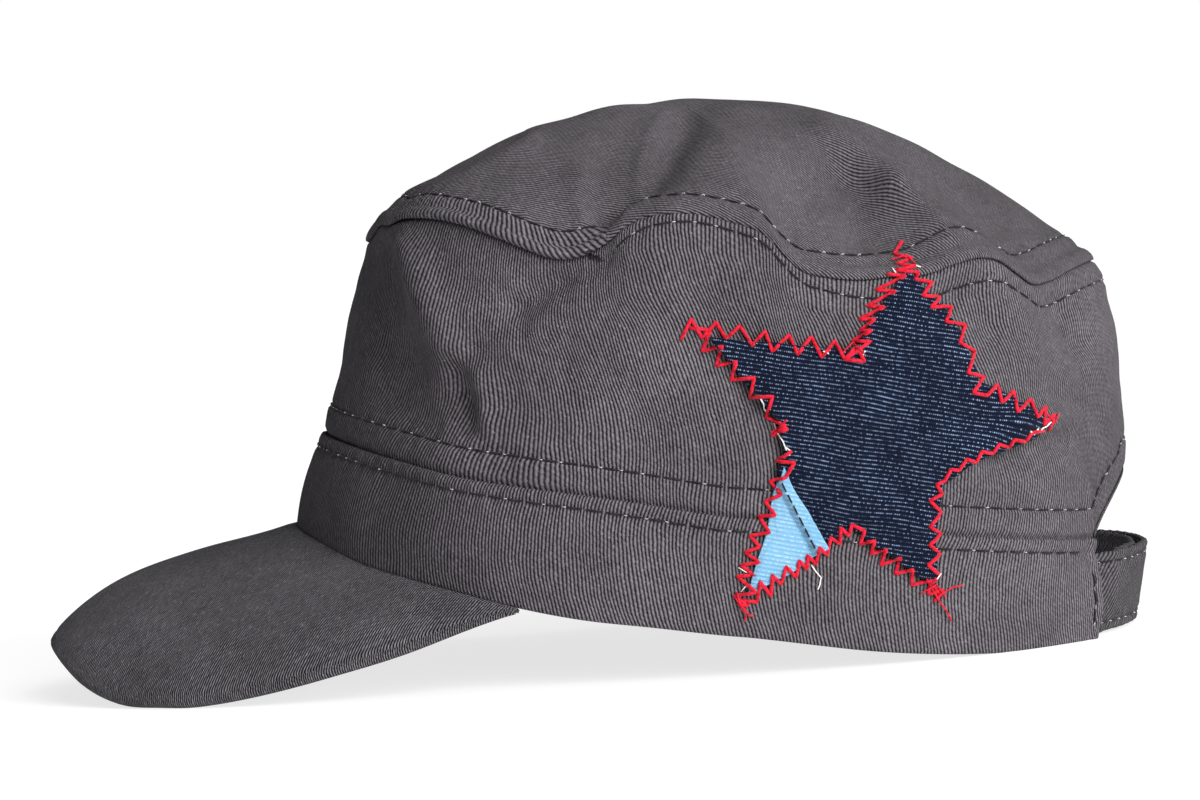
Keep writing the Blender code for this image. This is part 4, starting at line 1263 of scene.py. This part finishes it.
def denim_material(name, dark, mid, fleck, share, row_share):
    """Dyed warp from dark to mid, with flecks of weft; row_share tells how much its rows show."""
    made, tree, shader = new_material(name, 0.88)
    uv = add_node(tree, "TexCoord", out="UV")
    turned = add_node(tree, "Mapping", {"Vector": uv, "Rotation": (0, 0, ROW_CLIMB)})
    along = add_node(tree, "SeparateXYZ", {0: turned})
    pull = add_node(tree, "TexNoise", {"Vector": uv, "Scale": 0.04, "Detail": 2.0})
    pulled = add_node(tree, "Math", {0: pull, 1: 1.5, 2: along.node.outputs[1]}, operation="MULTIPLY_ADD")
    rows = add_node(tree, "Math", {0: pulled, 1: FLECK_ROW}, operation="DIVIDE")
    row_index = add_node(tree, "Math", {0: rows}, operation="FLOOR")
    row_within = add_node(tree, "Math", {0: rows}, operation="FRACT")
    row_angle = add_node(tree, "Math", {0: row_within, 1: pi}, operation="MULTIPLY")
    row_wave = add_node(tree, "Math", {0: row_angle}, operation="SINE")
    row_line = add_node(tree, "Math", {0: row_wave, 1: 5.0}, operation="POWER")
    # Flecks in each row, each in a cell with a chance of its own
    step = add_node(tree, "Math", {0: row_index, 1: 0.618}, operation="MULTIPLY")
    dashes = add_node(tree, "Math", {0: along, 1: 1 / FLECK_LENGTH, 2: step}, operation="MULTIPLY_ADD")
    dash_index = add_node(tree, "Math", {0: dashes}, operation="FLOOR")
    dash_within = add_node(tree, "Math", {0: dashes}, operation="FRACT")
    dash_angle = add_node(tree, "Math", {0: dash_within, 1: pi}, operation="MULTIPLY")
    dash_wave = add_node(tree, "Math", {0: dash_angle}, operation="SINE")
    cell = add_node(tree, "CombineXYZ", {0: row_index, 1: dash_index})
    chance = add_node(tree, "TexWhiteNoise", {"Vector": cell})
    wear = add_node(tree, "TexNoise", {"Vector": uv, "Scale": 0.11, "Detail": 3.0})
    fuzz = add_node(tree, "TexNoise", {"Vector": uv, "Scale": 2.2, "Detail": 3.0})
    mark = add_node(tree, "Math", {0: row_line, 1: dash_wave}, operation="MULTIPLY")
    often = add_node(tree, "Math", {0: chance, 1: 0.7, 2: 0.3}, operation="MULTIPLY_ADD")
    even = add_node(tree, "Math", {0: wear, 1: 0.5, 2: 0.26}, operation="MULTIPLY_ADD")
    likely = add_node(tree, "Math", {0: often, 1: even}, operation="MULTIPLY")
    seen = add_node(tree, "Math", {0: mark, 1: likely}, operation="MULTIPLY")
    weft = add_node(tree, "MapRange", {"Value": seen, "From Min": 0.15, "From Max": 0.46, "To Max": share})
    # Ground of dyed warp: rows, worn blotches and fuzz
    row_base = 0.64 * (1 - row_share)
    row_tone = add_node(tree, "Math", {0: row_wave, 1: row_share, 2: row_base}, operation="MULTIPLY_ADD")
    blotch = add_node(tree, "Math", {0: wear, 1: 0.8, 2: row_tone}, operation="MULTIPLY_ADD")
    ground = add_node(tree, "Math", {0: fuzz, 1: 0.8, 2: blotch}, operation="MULTIPLY_ADD")
    ground = add_node(tree, "Math", {0: ground, 1: 0.5, 2: -0.16}, operation="MULTIPLY_ADD")
    warp = add_node(tree, "ValToRGB", {"Fac": ground})
    set_stops(warp, (0.1, dark), (0.9, mid))
    mixed = add_node(tree, "Mix", {0: weft, 6: warp, 7: colour(fleck)}, out=2, data_type="RGBA")
    tree.links.new(mixed, shader.inputs["Base Color"])
    raised = add_node(tree, "Math", {0: fuzz, 1: 0.6, 2: row_wave}, operation="MULTIPLY_ADD")
    bump = add_node(tree, "Bump", {"Strength": 0.8, "Distance": WEFT_HEIGHT, "Height": raised})
    tree.links.new(bump, shader.inputs["Normal"])
    shader.inputs["Sheen Weight"].default_value = 0.06
    return made


# Indigo warp, hardly worn: nearly black blue, with rows of pale blue flecks that look like dashes
navy_denim = denim_material("navy denim", "#02040a", "#0d172f", "#93a9c9", 0.85, 0.8)
# The same weave bleached: light blue, with whitish flecks and hardly any dark rows
pale_denim = denim_material("bleached denim", "#4a80a8", "#8cbcd8", "#eaf2f6", 0.55, 0.05)
print("Weft rows every", FLECK_ROW, "mm")

# %% Lay both patches on the crown
def hem_fold(flat):
    """The pale corner climbs over the star, and its hem is folded and stitched along that side."""
    away = segment_distance(flat[..., 0] / MM, flat[..., 1] / MM, *PALE_LINE)
    fold = 1 - ease((away - HEM_STRIP) / 0.7)
    return (1.2 * fold - 0.5 * bell(away - HEM_STRIP - 0.4, 0.5)) * MM


star = patch("denim_star", STAR_CORNERS, STAR_CENTRE, 48, STAR_PROUD, 31, navy_denim)
star_corner = patch("denim_corner", PALE_CORNERS, PALE_CENTRE, 20, CORNER_PROUD, 41, pale_denim, hem_fold)
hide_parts("star_patch")
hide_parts("star_patch_corner")

# %% [markdown]
# ## Stitches
# A topstitch is a short bar of thread between two needle holes, pulled into the
# cloth at both ends. One bar could be copied along a curve by an Array modifier,
# but every bar here bends with its own bit of cloth. So every row follows a
# sheet's own grid at a fixed distance from its seam, and runs exactly in the
# furrow made there. A curve with a round bevel gives each bar its thickness, and
# all the bars of one thread are one curve, turned into a mesh.

# %% Threads as one mesh
def thread_mesh(name, paths, radius, finish, sides=1):
    """Round threads along the paths, as one piece."""
    curve = bpy.data.curves.new(name, "CURVE")
    curve.dimensions = "3D"
    curve.bevel_depth = radius
    curve.bevel_resolution = sides
    curve.use_fill_caps = True
    for path in paths:
        line = curve.splines.new("POLY")
        line.points.add(len(path) - 1)
        weighted = np.concatenate([path, np.ones((len(path), 1))], axis=1)
        line.points.foreach_set("co", weighted.reshape(-1).astype(np.float32))
    piece = bpy.data.objects.new(name, curve)
    bpy.context.scene.collection.objects.link(piece)
    activate(piece)
    bpy.ops.object.convert(target="MESH")
    piece = bpy.context.active_object
    merge(piece, 0.001 * MM)
    finish_cloth(piece, finish)
    return piece


def lifted_path(line, run, lift):
    """Points at the given runs along a line, lifted out of the cloth."""
    place = np.stack([np.interp(run, line[:, RUN], line[:, axis]) for axis in range(RUN)], axis=-1)
    return place[:, :3] + place[:, 3:] * np.asarray(lift)[:, None]

# %% Bars of a topstitch, and the pale tick of thread at each needle hole
# Shares of the stitch from hole to hole, and how far the thread is lifted there
BAR_SHARES = np.array([0.06, 0.14, 0.35, 0.65, 0.86, 0.94])
BAR_LIFTS = np.array([-0.50, 0.05, 0.26, 0.26, 0.05, -0.50]) * MM
TICK_SHARES = np.array([-0.10, -0.03, 0.06, 0.12])
TICK_LIFTS = np.array([-0.25, 0.26, 0.34, -0.10]) * MM
TICK_CHANCE = 0.6
UNEVEN = 0.03


def topstitch(line, keep, margin):
    """Bars and ticks of one row, but for the holes that aren't kept and a margin at both ends."""
    chance = np.random.default_rng(round(abs(line[0, 0]) * 1e6))
    first = ceil(line[0, RUN] / STITCH_PITCH) + margin
    last = floor(line[-1, RUN] / STITCH_PITCH) - margin
    bars, ticks = [], []
    for hole in range(first, last):
        if not keep(hole * STITCH_PITCH):
            continue
        uneven = chance.uniform(-UNEVEN, UNEVEN, 2)
        bars.append(lifted_path(line, (hole + uneven[0] + BAR_SHARES) * STITCH_PITCH, BAR_LIFTS))
        if chance.uniform() < TICK_CHANCE:
            ticks.append(lifted_path(line, (hole + uneven[1] + TICK_SHARES) * STITCH_PITCH, TICK_LIFTS))
    return bars, ticks


def every_stitch(run):
    """A row that shows all the way."""
    return True


def lower_row_stitch(run):
    """Whether the row under the top seam shows here; at the front the lip hides it."""
    return np.interp(run, wall_run[0], lower_row) > 0.75

# %% Rows of topstitching along the seams
stitch_bars, stitch_ticks = [], []
SEAM_ROWS = 60


def add_row(line, keep=every_stitch, margin=1):
    """Sews one row; a row that goes all the way round needs no margin."""
    bars, ticks = topstitch(line, keep, margin)
    stitch_bars.extend(bars)
    stitch_ticks.extend(ticks)


add_row(seam_line(wall_grid, True, wall_run, wall_up, LOW_ROW), margin=0)
below_seam = WALL_TOP_ROW * wall_row_reach - wall_down
add_row(seam_line(wall_grid, True, wall_run, below_seam, 0.0), lower_row_stitch, margin=0)
above_seam = (top_from_seam - top_row_place)[:SEAM_ROWS]
above_run = np.broadcast_to(top_run[[0]], above_seam.shape)
add_row(seam_line(top_grid[:SEAM_ROWS], True, above_run, above_seam, 0.0), margin=0)
add_row(seam_line(band_grid, False, band_run, -band_down, -BAND_ROW))

# %% Rows up both ends of the band, and along the straps
END_COLUMNS = 60

band_across = band_grid.transpose(1, 0, 2)
for half in (slice(0, END_COLUMNS), slice(-END_COLUMNS, None)):
    across, reached = band_across[half], band_end.T[half]
    if half.start:
        across, reached = across[::-1], reached[::-1]
    line = seam_line(across, False, band_up.T[half], reached, HEM_ROW)
    # The turned grid's normals may point inwards, and outwards is +X at the rear
    line[:, 3:6] *= np.sign(line[:, 3:6] @ np.array([1.0, 0, 0]))[:, None]
    add_row(line)
for line in strap_lines:
    add_row(line)
print(len(stitch_bars), "stitches")

# %% [markdown]
# ## Sewing thread
# Sewing thread is two or three fine plies of cotton or polyester twisted
# together. It has a soft shine along its plies, and its fibres break the colour
# into small lighter and darker bits. The twist could be modelled, but it is too
# fine to show here, so noise of about 0.7 mm stands in for it. The grey thread
# is painted nearly as dark as the furrow it lies in, as painted shade, and only
# shows pale where it turns into a needle hole.

# %% Thread finish
def thread_material(name, dark, pale, roughness):
    """Twisted fibres from dark to pale, in colour and in height."""
    made, tree, shader = new_material(name, roughness)
    place = add_node(tree, "TexCoord", out="Object")
    fibres = add_node(tree, "TexNoise", {"Vector": place, "Scale": 1400.0, "Detail": 3.0})
    ramp = add_node(tree, "ValToRGB", {"Fac": fibres})
    set_stops(ramp, (0.32, dark), (0.66, pale))
    tree.links.new(ramp, shader.inputs["Base Color"])
    bump = add_node(tree, "Bump", {"Strength": 0.6, "Distance": 0.1 * MM, "Height": fibres})
    tree.links.new(bump, shader.inputs["Normal"])
    shader.inputs["Sheen Weight"].default_value = 0.1
    return made

# %% The four threads, and the topstitching
# Grey cotton, matt, painted nearly black as the shade of the furrows: dark dashes in them
shade_darkened_thread = thread_material("grey sewing thread, darkened as painted shade", "#121113", "#2c2a2e", 0.8)
# The same thread where it turns into the needle holes: small light dots
pale_thread = thread_material("pale bits of grey sewing thread", "#8a868b", "#cdc9ce", 0.8)
# Smooth dyed thread: the only strong colour, and a little glossier than the cloth
red_thread = thread_material("red sewing thread", "#a30a1e", "#e0203a", 0.5)
# Undyed cotton weft: nearly white and without any gloss
white_yarn = thread_material("white weft yarn", "#cfcdca", "#f4f3f0", 0.85)
bars = thread_mesh("topstitch_bars", stitch_bars, 0.24 * MM, shade_darkened_thread)
ticks = thread_mesh("topstitch_ticks", stitch_ticks, 0.12 * MM, pale_thread, 0)

# %% [markdown]
# ## The red zigzag
# A wide zigzag in thick red thread holds the star. Each pass has needle points
# in turn on the star and outside it, and the passes cross or double at the tips
# where the cloth was turned. A zigzag made by a formula would be too even for
# this hand-guided one, so tables give the needle points in millimetres in the
# side view. Between two points the thread rises over the cloth like a bar, and
# at each point it dips in.

# %% Needle points of the red zigzag
ZIGZAG = (
    # Top tip, then down its front side
    ((74.1, 94.1), (71.9, 91.4), (75.8, 90.2), (72.0, 89.1), (76.5, 88.4), (71.6, 87.8), (76.8, 87.0)),
    ((69.7, 87.1), (73.7, 86.4), (66.8, 83.8), (71.1, 83.2), (64.5, 80.4), (68.3, 79.9), (62.5, 77.6),
     (65.9, 77.4), (62.5, 75.0), (65.0, 75.0), (60.6, 72.9), (64.6, 72.6), (58.5, 69.0), (62.9, 68.2),
     (61.4, 71.7)),
    # Top of the front tip, from the notch to the tip
    ((61.4, 71.7), (58.5, 69.0), (56.7, 73.2), (53.4, 69.9), (51.5, 74.5), (48.1, 70.9), (46.6, 75.3),
     (42.5, 72.0), (41.3, 76.5), (38.2, 73.6), (35.8, 78.1), (32.5, 75.4), (30.6, 79.3), (27.2, 76.0),
     (25.1, 80.4), (22.5, 75.9)),
    # Under the front tip to the front notch
    ((24.7, 78.4), (29.3, 77.6), (27.0, 73.1), (31.5, 73.9), (29.9, 69.6), (34.4, 70.3), (33.0, 66.2),
     (38.1, 66.5), (36.9, 62.1), (41.9, 62.0), (40.2, 57.4), (44.3, 55.3), (41.2, 53.1), (44.7, 54.6)),
    # Front of the pale corner
    ((45.2, 49.5), (41.7, 47.5), (45.7, 47.0), (43.4, 43.8), (40.0, 43.2), (42.3, 40.1), (38.6, 38.8),
     (40.6, 35.6), (37.0, 35.6), (39.0, 31.9), (34.7, 31.4), (36.7, 28.8), (33.3, 27.9), (36.3, 25.5),
     (32.2, 25.1), (35.0, 22.7), (31.2, 22.7), (35.1, 18.9), (30.2, 18.3), (33.2, 15.9), (31.0, 16.5)),
    # From the pale tip to the bottom notch
    ((31.9, 17.3), (35.2, 16.6), (36.2, 21.2), (38.4, 17.7), (39.0, 22.4), (40.8, 20.2), (42.2, 24.1),
     (44.3, 21.5), (45.2, 25.2), (46.8, 23.1), (47.1, 26.2), (48.9, 24.1), (49.9, 27.8), (51.5, 25.9),
     (52.5, 29.8), (54.6, 28.1), (54.9, 31.8), (56.7, 29.7), (57.4, 32.3)),
    # From the bottom notch to the rear foot
    ((57.4, 32.3), (60.2, 30.7), (59.1, 27.7), (62.3, 28.3), (61.4, 25.3), (64.8, 26.1), (63.4, 22.6),
     (67.9, 24.0), (66.5, 20.4), (70.4, 21.1), (70.1, 17.6), (74.5, 18.3), (73.6, 15.2), (77.1, 15.8),
     (74.9, 13.5)),
    # Rear side of the rear foot
    ((78.2, 37.2), (75.4, 36.1), (77.9, 33.2), (75.0, 30.3), (77.6, 28.3), (74.6, 26.3), (77.0, 23.9),
     (73.9, 21.9), (76.6, 19.2), (74.2, 17.6), (76.8, 14.5)),
    # Rear side of the top, the rear tip above and below
    ((76.8, 87.0), (75.9, 85.5), (79.8, 84.5), (77.2, 81.8), (81.4, 81.1), (78.9, 79.0), (81.7, 79.0),
     (84.0, 78.6), (82.1, 75.6), (86.9, 74.3), (84.9, 70.7), (88.5, 68.3), (86.2, 63.8), (90.1, 62.4),
     (87.0, 59.3)),
    ((87.0, 59.3), (90.2, 58.3), (93.0, 60.5), (93.6, 56.4), (96.9, 58.6), (97.1, 54.0), (100.9, 56.3),
     (101.9, 52.3), (104.5, 54.3), (103.3, 50.4), (106.4, 52.3), (104.7, 48.8)),
    ((103.2, 49.0), (100.2, 48.9), (98.6, 47.0), (95.9, 47.8), (94.6, 46.1), (92.3, 47.1), (90.7, 45.2),
     (88.1, 45.9), (86.6, 43.6), (84.5, 44.5), (82.5, 42.2), (80.7, 42.6), (79.1, 40.2), (77.2, 39.5),
     (78.4, 37.2)),
)
TAILS = (
    ((75.8, 14.6), (79.2, 16.2), (81.6, 16.5)), ((75.2, 15.2), (76.4, 12.8), (77.8, 10.6), (78.6, 8.6)),
    ((72.0, 15.6), (75.6, 17.2), (77.6, 14.2)), ((73.4, 18.8), (75.2, 14.9), (76.2, 13.1)),
    ((30.4, 18.0), (32.8, 14.6), (32.2, 12.6)), ((34.2, 13.4), (31.8, 15.0), (30.8, 19.2)),
    ((71.0, 90.2), (74.6, 91.0), (76.2, 89.0)), ((104.0, 53.2), (106.2, 50.4), (107.4, 52.4)),
    ((44.6, 56.6), (42.6, 54.8), (41.0, 53.9)), ((58.3, 70.6), (60.7, 72.6), (63.0, 70.0)),
)
THREAD_RADIUS = 0.43 * MM
FINE_RADIUS = 0.2 * MM
ZIGZAG_DIP = 0.05 * MM
ZIGZAG_RISE = 0.50 * MM
TAIL_DIP = 0.7 * MM
TAIL_RISE = 1.1 * MM

# %% Surface of the crown, the band and both patches, for threads that lie on it
cloth_mesh = bmesh.new()
for piece in (crown_wall, crown_top, band, star, star_corner):
    cloth_mesh.from_mesh(piece.data)
cloth_surface = BVHTree.FromBMesh(cloth_mesh)
cloth_mesh.free()


def on_cloth(x, z, proud):
    """Place at x and z on the left side of the cap, lifted towards -Y by proud."""
    hit, _, _, _ = cloth_surface.ray_cast(Vector((x, -0.2, z)), Vector((0, 1, 0)))
    return np.array(hit) - np.array([0, proud, 0])

# %% Sew the zigzag
def bars_between(points, dip, rise):
    """A thread that dips at each point and rises between them; each turn is a small loop."""
    points = np.array(points) * MM
    path = []
    for a, b in zip(points[:-1], points[1:]):
        for share in (0.0, 0.10, 0.3, 0.5, 0.7, 0.90):
            path.append(on_cloth(*(a + (b - a) * share), dip + (rise - dip) * sin(pi * share) ** 0.5))
    path.append(on_cloth(*points[-1], dip))
    return np.array(path)


zigzag_paths = [bars_between(points, ZIGZAG_DIP, ZIGZAG_RISE) for points in ZIGZAG]
zigzag = thread_mesh("red_zigzag", zigzag_paths, THREAD_RADIUS, red_thread, 2)

# %% Six small stitches that hold the pale corner's hem
HEM_STITCHES = ((42.6, 42.6), (43.7, 40.0), (44.8, 37.4), (45.9, 34.8), (47.0, 32.2), (48.1, 29.6))

corner_hem = [bars_between(((x, z), (x + 0.75, z - 1.85)), 0.02 * MM, 0.25 * MM) for x, z in HEM_STITCHES]
corner_stitches = thread_mesh("corner_hem_stitches", corner_hem, FINE_RADIUS, shade_darkened_thread)

# %% Loose ends of the red thread
tail_paths = [bars_between(points, TAIL_DIP, TAIL_RISE) for points in TAILS]
tails = thread_mesh("red_thread_ends", tail_paths, FINE_RADIUS, red_thread)

# %% [markdown]
# ## Frays and the loose tuft
# Where the denim was cut, single white weft yarns have come out of its edge, and
# a few grey threads stand out of the pinch of the top seam. A hair system would
# make many alike, and here a few single ones are wanted. They are thin curves
# that leave the cloth and come back to it.

# %% Frays: points in millimetres in the side view
FRAYS = (
    ((39.2, 61.6), (39.8, 60.4), (39.9, 59.2), (40.6, 58.3)),
    ((41.9, 55.9), (42.4, 53.9), (43.5, 51.8), (44.1, 49.8)), ((43.9, 50.6), (44.9, 49.7), (44.6, 48.6)),
    ((105.2, 50.8), (104.0, 49.9), (102.9, 49.6), (102.3, 48.8)),
    ((101.9, 49.7), (100.8, 48.4), (99.9, 49.3)),
    ((47.8, 24.0), (48.7, 22.5), (49.8, 21.0), (49.4, 19.4), (48.9, 18.4)), ((70.9, 88.4), (71.6, 87.3)),
    ((76.2, 88.6), (77.4, 88.1)), ((31.6, 24.6), (33.4, 23.4)), ((33.0, 20.4), (31.8, 19.2)),
    ((53.8, 71.2), (55.0, 70.6)), ((63.2, 70.6), (62.4, 69.2)), ((76.9, 19.6), (75.6, 18.4)),
)
chance = np.random.default_rng(17)
fray_paths = []
for points in FRAYS:
    path = [on_cloth(*(np.array(place) * MM), (0.2 + 0.5 * chance.uniform()) * MM) for place in points]
    fray_paths.append(np.array(path))
frays = thread_mesh("white_frays", fray_paths, 0.17 * MM, white_yarn)

# %% Loose tuft: short threads, each bent once
TUFT_THREADS = 14
TUFT_PLACE = np.array([2.0, 97.2])
TUFT_SPREAD = np.array([3.6, -2.2])
TUFT_LIFTS = np.array([-0.1, 0.5, 0.1]) * MM

tuft_paths = []
for _ in range(TUFT_THREADS):
    start = TUFT_PLACE + chance.uniform(-0.4, 0.4, 2) + chance.uniform() * TUFT_SPREAD
    bend = start + np.array([0.9, -0.1]) + chance.uniform(-0.4, 0.4, 2)
    end = bend + np.array([0.2, -0.9]) + chance.uniform(-0.4, 0.4, 2)
    path = [on_cloth(*(place * MM), lift) for place, lift in zip((start, bend, end), TUFT_LIFTS)]
    tuft_paths.append(np.array(path))
tuft = thread_mesh("loose_tuft", tuft_paths, 0.16 * MM, shade_darkened_thread, 0)

# %% [markdown]
# ## Floor and light
# The cap stands on white paper that is lit so brightly that its edge and most
# of the shadow vanish. Strong lamps under the paper could do that, but a plain
# floor that gives some light of its own is simpler. The paper is matt, with a
# very faint grain, so it looks even and has no highlight. The main light comes
# from the viewer's right and a little above, as from a large softbox, and a weak
# one comes from the top.

# %% Paper floor
def stage_plane(name, size, place, finish):
    """A plane that belongs to the picture and not to the cap."""
    bpy.ops.object.select_all(action="DESELECT")
    bpy.ops.mesh.primitive_plane_add(size=size, location=place)
    plane = bpy.context.active_object
    plane.name = name
    plane.data.materials.append(finish)
    return plane


paper, tree, shader = new_material("white paper, lit from below", 0.9)
grain = add_node(tree, "TexNoise", {"Vector": add_node(tree, "TexCoord", out="Object"), "Scale": 900.0})
ramp = add_node(tree, "ValToRGB", {"Fac": grain})
set_stops(ramp, (0.3, "#9a9a9a"), (0.7, "#9e9e9e"))
tree.links.new(ramp, shader.inputs["Base Color"])
shader.inputs["Emission Color"].default_value = colour("#ffffff")
shader.inputs["Emission Strength"].default_value = 0.75
stage_plane("paper_floor", 40, (0, 0, 0), paper)

# %% Studio around it: white for the camera, and for the cap a weak fill that is stronger from the rear
FRONT_FILL = 0.05
REAR_FILL = 0.36

world = bpy.data.worlds.new("studio")
world.use_nodes = True
bpy.context.scene.world = world
tree = world.node_tree
background = tree.nodes["Background"]
background.inputs["Color"].default_value = colour("#ffffff")
seen = add_node(tree, "LightPath", out="Is Camera Ray")
toward = add_node(tree, "SeparateXYZ", {0: add_node(tree, "TexCoord", out="Generated")})
fill = add_node(tree, "MapRange", {"Value": toward, "From Min": -1.0,
                                   "To Min": FRONT_FILL, "To Max": REAR_FILL})
strength = add_node(tree, "MapRange", {"Value": seen, "To Min": fill, "To Max": 1.0})
tree.links.new(strength, background.inputs["Strength"])

# %% Lights
def sunlight(name, toward, strength, softness):
    """Even light from far away; its angle makes the shadows as soft as a large softbox does."""
    light = bpy.data.lights.new(name, "SUN")
    light.energy = strength
    light.angle = radians(softness)
    lamp = bpy.data.objects.new(name, light)
    bpy.context.scene.collection.objects.link(lamp)
    lamp.location = Vector(toward)
    lamp.rotation_euler = Vector(toward).to_track_quat("Z", "Y").to_euler()
    return lamp


sunlight("key light", (0.72, -1.0, 0.50), 4.6, 50)
sunlight("top light", (0.3, -0.1, 1.0), 0.5, 60)
bpy.context.scene.view_settings.view_transform = "Standard"
